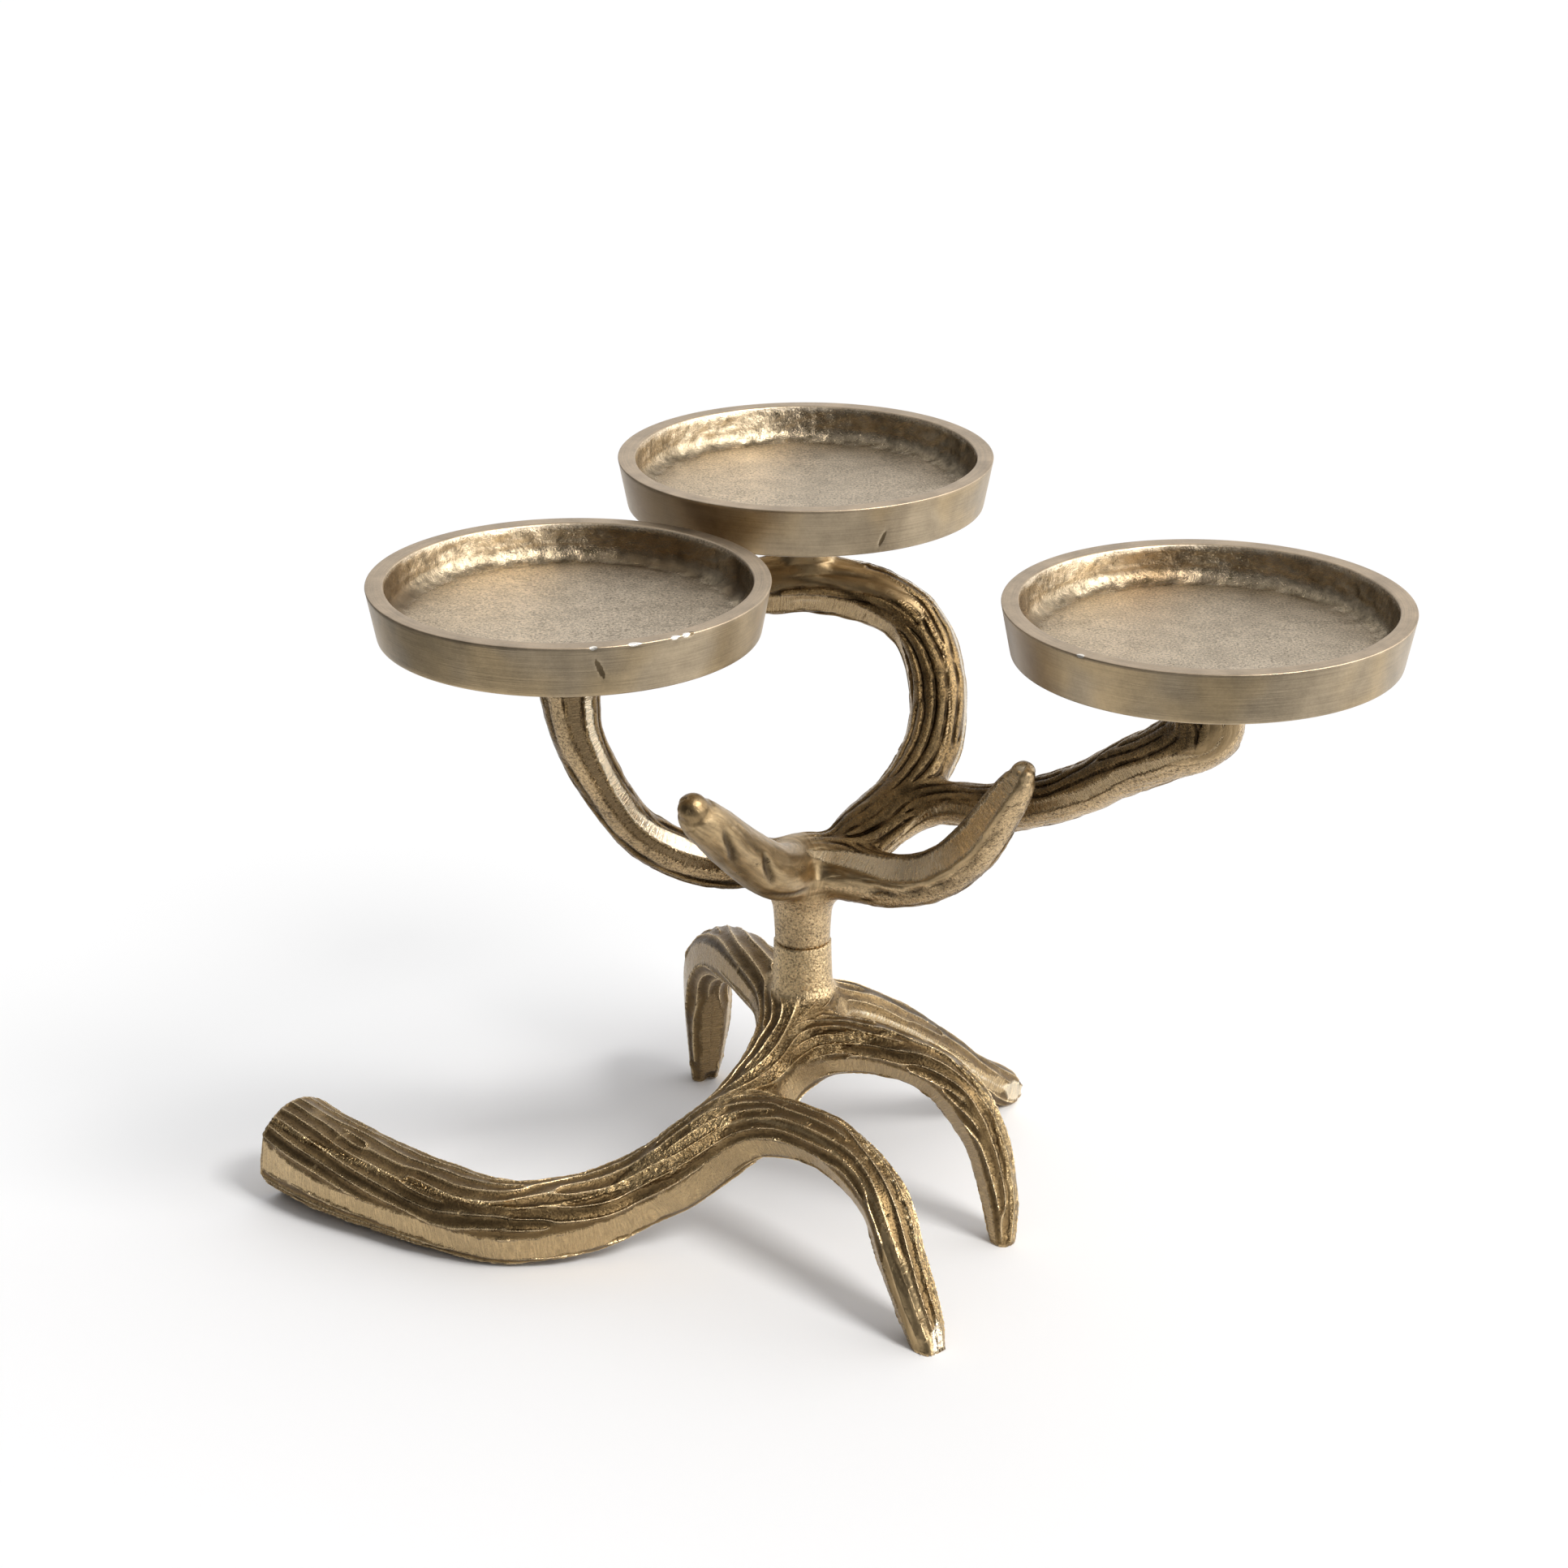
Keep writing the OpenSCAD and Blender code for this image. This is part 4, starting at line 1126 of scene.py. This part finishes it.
def antique_brass(name, thin, furrow_tone, skin_tone, crest_tone, filed_tone, sand_tone):
    """The finish of a casting, with thin crests or with thin grooves."""
    brass = Finish(bpy.data.materials.new(name))
    where = brass.place()
    even, odd, furrow, filed, shine, dug = brass.notes("even odd furrow filed shine dug")
    sand, stain, polish, hammer = brass.notes("sand stain polish hammer")
    along, girth = brass.notes("along round")

    # The wave, the grain of the metal and the marks of the tools.
    swing = even / (even * even + odd * odd).power(0.5).most(0.3)
    crest = ((swing + 1) * 0.5).most(0.0).power(15.0 if thin else 1.6)
    hollow = ((1 - swing) * 0.5).most(0.0).power(0.8 if thin else 5.5)
    patches, cloud = brass.noise(where, 0.05), brass.noise(where, 0.3)
    grain, fine = brass.noise(where, 1.3, 3.0, 0.7), brass.noise(where, 3.4, 2.0, 0.6)
    pebble = 1 - brass.cells(where, 1.15)
    streak = brass.noise(where, 0.14, 2.0).rise(0.3, 0.62)
    marks = brass.noise(brass.point(along * 2.2, girth * 0.16), 1.0, 3.0, 0.6).rise(0.38, 0.66)
    streaks = brass.noise(brass.point(along * 0.09, girth * 0.6), 1.0, 3.0, 0.6).rise(0.36, 0.64)
    blows = brass.noise(brass.point(along * 0.34, girth * 0.85), 1.0, 3.0, 0.5)
    blows = blows + brass.noise(where, 0.6, 2.0, 0.5) * 0.6
    wear = ((cloud - 0.5) * 1.4 + (patches - 0.5) * 1.8 + (grain - 0.5) * 1.4 + 0.5).clamp()

    # Skin, furrows, crests, and stains with painted shade.
    tone = brass.mix(wear, tinted(skin_tone, 0.68 if thin else 0.5), tinted(skin_tone, 1.1 if thin else 1.2))
    tone = brass.mix(hollow * furrow * (1.4 - wear * 0.6), tone, furrow_tone)
    lit = streak * 0.4 + wear * 0.3 + 0.55 if thin else (wear * 0.6 + streak * 0.8) * 0.6
    tone = brass.mix(crest * furrow * lit, tone, crest_tone)
    # Dark strips: stains in part, and in part painted shade, as at the knob under the right pan.
    tone = brass.mix(stain * (1.15 - wear * 0.5), tone, brass.shade(tone, 0.5))

    # Polished, hammered and sandy strips; the hammered ones are brightened, in part as a painted highlight.
    worn = brass.mix(streaks * 0.7 + wear * 0.3, tinted(filed_tone, 0.55), tinted(filed_tone, 1.05))
    worn = brass.mix(stain * 0.6, worn, tinted(skin_tone, 0.7))
    tone = brass.mix(polish * 0.9, tone, worn)
    # Painted highlight in part: the hammered strips lie where the lamp glints, and their tone goes towards a
    # bright gold.
    worked_and_highlight = brass.mix(wear * 0.5 + crest * 0.7, tinted(skin_tone, 0.9), WORKED_HIGHLIGHT_GOLD)
    tone = brass.mix(hammer * 0.8, tone, worked_and_highlight)
    light_grain = (grain - 0.5) * 1.7 + (fine - 0.5) * 1.9 + (pebble - 0.6) * 0.5 + wear * 0.5 + 0.3
    tone = brass.mix(sand, tone, brass.mix(light_grain, tinted(sand_tone, 0.5), tinted(sand_tone, 1.35)))

    # Filed flats, and pits over all.
    flat_tone = brass.mix(marks * 0.55 + wear * 0.45, tinted(filed_tone, 0.62), tinted(filed_tone, 1.1))
    brown_flat = brass.mix(marks, tinted(furrow_tone, 1.1), tinted(furrow_tone, 1.9))
    flat_tone = brass.mix(0 - shine, flat_tone, brown_flat)
    # Painted highlight in part: flats with a positive shine go towards a near-white tone, for polished metal
    # and for the highlight it shows.
    flat_tone = brass.mix(shine, flat_tone, brass.mix(marks * 0.6, POLISH_HIGHLIGHT_FLAT, SCRATCHED_FLAT))
    tone = brass.mix(filed, tone, flat_tone)
    border = (filed * (1 - filed) * 4).clamp()
    open_grain = (0.8 - filed * 0.65 - sand * 0.35 - polish * 0.7).most(0)
    pits = (grain * 0.6 + fine * 0.4).rise(0.44, 0.36) * open_grain
    pits = (pits + border * fine.rise(0.5, 0.6) * 0.9 + dug * 0.8).clamp()
    tone = brass.mix(pits, tone, tinted(furrow_tone, 0.5))

    rough = 0.24 + hollow * furrow * 0.16 + (grain - 0.5) * 0.35 + (marks - 0.5) * 0.14 * filed
    rough = rough + sand * 0.04 - hammer * 0.12 + polish * 0.1 - shine.clamp() * filed * 0.08
    rugged = (1 - filed * 0.85) * (1 - polish * 0.8)
    grit = (fine * 0.9 + grain * 1.6) * (0.65 if thin else 1.0) + pebble * (0.4 + sand * 0.5)
    furrows = crest * 3.4 - hollow * 1.2 if thin else crest * 0.6 - hollow * 4.0
    height = grit * rugged + marks * filed * 0.45 + furrows * furrow
    height = height - pits * 0.9 + blows * (hammer * 8 + rugged * 0.8)
    return brass.metal(tone, rough, height, strength=0.9, depth=0.2)


LOWER_BRASS = antique_brass(
    "antler_brass_dark", thin=True, furrow_tone=(0.165, 0.107, 0.048), skin_tone=(0.34, 0.23, 0.106),
    crest_tone=(0.90, 0.69, 0.41), filed_tone=(0.61, 0.445, 0.24), sand_tone=(0.66, 0.49, 0.275))
UPPER_BRASS = antique_brass(
    "antler_brass_gold", thin=False, furrow_tone=(0.072, 0.045, 0.021), skin_tone=(0.275, 0.18, 0.08),
    crest_tone=(0.43, 0.30, 0.145), filed_tone=(0.58, 0.425, 0.236), sand_tone=(0.60, 0.44, 0.25))

# %% [markdown]
# The pans are paler. Fine lathe lines run round the rim and the outer wall, the floor has
# the grain of the sand and small dark pits, and the lumpy cove between them is amber. In
# places the walls carry spots of painted shade and painted dark reflection: each spot has
# its middle (x, y) and its reach.

# %% Brass of the pans
SHADE_SPOTS = [(56, -74, 30), (52, -58, 14), (-50, 30, 30), (-34, 12, 24), (-112, -32, 22),
           (64, -54, 14), (100, -4, 20), (-16, -16, 12)]
SATIN_TONES = (0.485, 0.39, 0.265), (0.495, 0.375, 0.22)
RIM_TONE, SHADE_SPOT_TONE, CHIP_GLINT_TONE = (0.54, 0.425, 0.295), (0.16, 0.10, 0.045), (0.95, 0.90, 0.80)
FLOOR_TONES = (0.33, 0.27, 0.19), (0.80, 0.675, 0.51)
COVE_TONES = (0.19, 0.15, 0.095), (0.56, 0.455, 0.31)
PIT_TONE, SLOT_TONE = (0.12, 0.085, 0.05), (0.10, 0.07, 0.035)


def dish_brass():
    brass = Finish(bpy.data.materials.new("pan_brass_satin"))
    where = brass.place()
    across, back, _ = brass.split(where)
    turned, rim, cove, reach, slot, chip = brass.notes("turned rim cove reach slot chip")
    lines = brass.noise(brass.point(across * 0.05, back * 0.05, reach * 2.8), 1.0, 3.0, 0.6)
    patches, cloud = brass.noise(where, 0.03, 2.0), brass.noise(where, 0.12)
    grain, fine = brass.noise(where, 1.4, 3.0, 0.75), brass.noise(where, 3.6, 2.0, 0.6)
    lumps = brass.noise(where, 0.4, 3.0, 0.6)

    satin = brass.mix(rim, brass.mix(patches.rise(0.42, 0.6), *SATIN_TONES), RIM_TONE)
    uneven = (lines - 0.5) * 1.3 + (cloud - 0.5) * 1.3 + (grain - 0.5) * 0.7 + 0.5
    satin = brass.mix(uneven, brass.shade(satin, 0.64), brass.shade(satin, 1.16))
    uneven = (grain - 0.5) * 3.6 + (fine - 0.5) * 1.4 + (cloud - 0.5) * 0.9 + 0.55
    amber = brass.mix((lumps + cloud) * 1.6 - 1.1, *COVE_TONES)
    tone = brass.mix(turned, brass.mix(cove, brass.mix(uneven, *FLOOR_TONES), amber), satin)

    walls = ((turned + cove).clamp() - rim).clamp()
    wall_shade = sum(((across - x).power(2.0) + (back - y).power(2.0)).power(0.5).rise(size, size * 0.25)
                  for x, y, size in SHADE_SPOTS)
    # Painted shade and painted dark reflections, as dark spots on the walls.
    tone = brass.mix((wall_shade * (lumps * 0.5 + 0.75)).clamp() * walls * 0.75, tone, SHADE_SPOT_TONE)
    specks = (fine * 0.3 + grain * 0.7).rise(0.42, 0.35) * (1 - turned)
    tone = brass.mix(specks * 0.75, tone, PIT_TONE)
    tone = brass.mix(slot.rise(0.25, 0.45) * 0.85, tone, SLOT_TONE)
    # Painted highlight in part: the chips show bare metal, painted near white as a glint.
    tone = brass.mix(chip.rise(0.3, 0.5), tone, CHIP_GLINT_TONE)

    rough = 0.36 + (lines - 0.5) * 0.2 * turned + (grain - 0.5) * 0.25 * (1 - turned)
    rough = rough + rim * 0.06 - cove * 0.16 - chip * 0.15
    height = (grain * 1.6 + fine * 0.8) * (1 - turned) + lumps * cove * 3.0
    height = height + (lines * 0.4 + fine * 0.2) * turned - specks * 0.6
    return brass.metal(tone, rough, height, strength=0.6, depth=0.16)


def steel(name, tone):
    """Plated steel with fine turning lines round the shank."""
    metal = Finish(bpy.data.materials.new(name))
    lines = metal.noise(metal.place(scale=(0.6, 0.6, 5.0)), 1.0, 3.0, 0.6)
    return metal.metal(metal.mix(lines, tinted(tone, 0.75), tone), lines * 0.2 + 0.22, lines, 0.3, 0.05)


# %% [markdown]
# ## Casting, boring and assembling
#
# After casting, the holes are drilled: one from below for the post's screw, with a wide
# seat for its head, a threaded one above it, and one under each pan for its stud.

# %% Drill the holes
HEAD_R, CLEAR_R, THREAD_R = 6.4, 3.06, 3.04


def threaded(low, high):
    return [(0, low), (THREAD_R, low), (THREAD_R, high), (0, high)]


SCREW_SEAT = [(0, 20), (HEAD_R, 20), (HEAD_R, 54), (CLEAR_R, 54), (CLEAR_R, 95), (0, 95)]
STUD_HOLES = [(x, y, threaded(top - 13, top + 6)) for x, y, top, _ in PADS]
HOLES = {"lower_antler": [(0, 0, SCREW_SEAT)], "upper_antler": [(0, 0, threaded(75, 98.5))] + STUD_HOLES}


def drilled(name, skin):
    """The skin with its holes, and the notes of its points kept."""
    points, faces = [], []
    for x, y, steps in HOLES[name]:
        hole_points, hole_faces = turned(np.array(steps, float), 40)
        faces += [[len(points) + i for i in face] for face in hole_faces]
        points += (hole_points + (x, y, 0)).tolist()
    drill = mesh_piece(name + "_drill", np.array(points), faces)
    piece = placed("drilled", skin)
    cut = piece.modifiers.new("holes", "BOOLEAN")
    cut.operation, cut.object, cut.solver = "DIFFERENCE", drill, "MANIFOLD"
    out = evaluated_mesh(piece)
    for extra in (piece, drill):
        bpy.data.objects.remove(extra)
    print(name, "has", len(HOLES[name]), "holes and", len(out.vertices) - len(skin.vertices), "more points")
    return out


# %% Cast both antlers
def antler(body, node, limbs, shape, extra, metal, profile, plain, lowest, patchy):
    """Casts, furrows and bores one antler. Nothing of it is lower than lowest."""
    skin = cast(node, limbs, shape, extra, metal, lowest)
    skin.materials.clear()
    skin.materials.append(metal)
    furrowed(skin, limbs, profile, plain, lowest, patchy)
    skin = drilled(node, skin)
    skin.polygons.foreach_set("use_smooth", np.ones(len(skin.polygons), bool))
    piece = placed(node + "_casting", skin)
    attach(piece, body)
    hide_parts(node)
    print(node, "cast and furrowed after", round(time.time() - began, 1), "s")


antler("base", "lower_antler", LOWER_LIMBS, lower_shape, LOWER_EXTRA, LOWER_BRASS, thin_crests, lower_plain,
       lowest=0.0, patchy=0.3)
antler("top", "upper_antler", UPPER_LIMBS, upper_shape, UPPER_EXTRA, UPPER_BRASS, thin_grooves, upper_plain,
       lowest=SEAM_H, patchy=0.8)

# %% Finish the pans and the fasteners
PAN_BRASS = dish_brass()
for piece in PANS.values():
    piece.data.materials.append(PAN_BRASS)

ZINC = steel("fastener_zinc", (0.62, 0.61, 0.58))
for name in ("post_screw", "spring_washer", "stud_left", "stud_back", "stud_right"):
    for slot in bpy.data.objects[name].material_slots:
        slot.material = ZINC
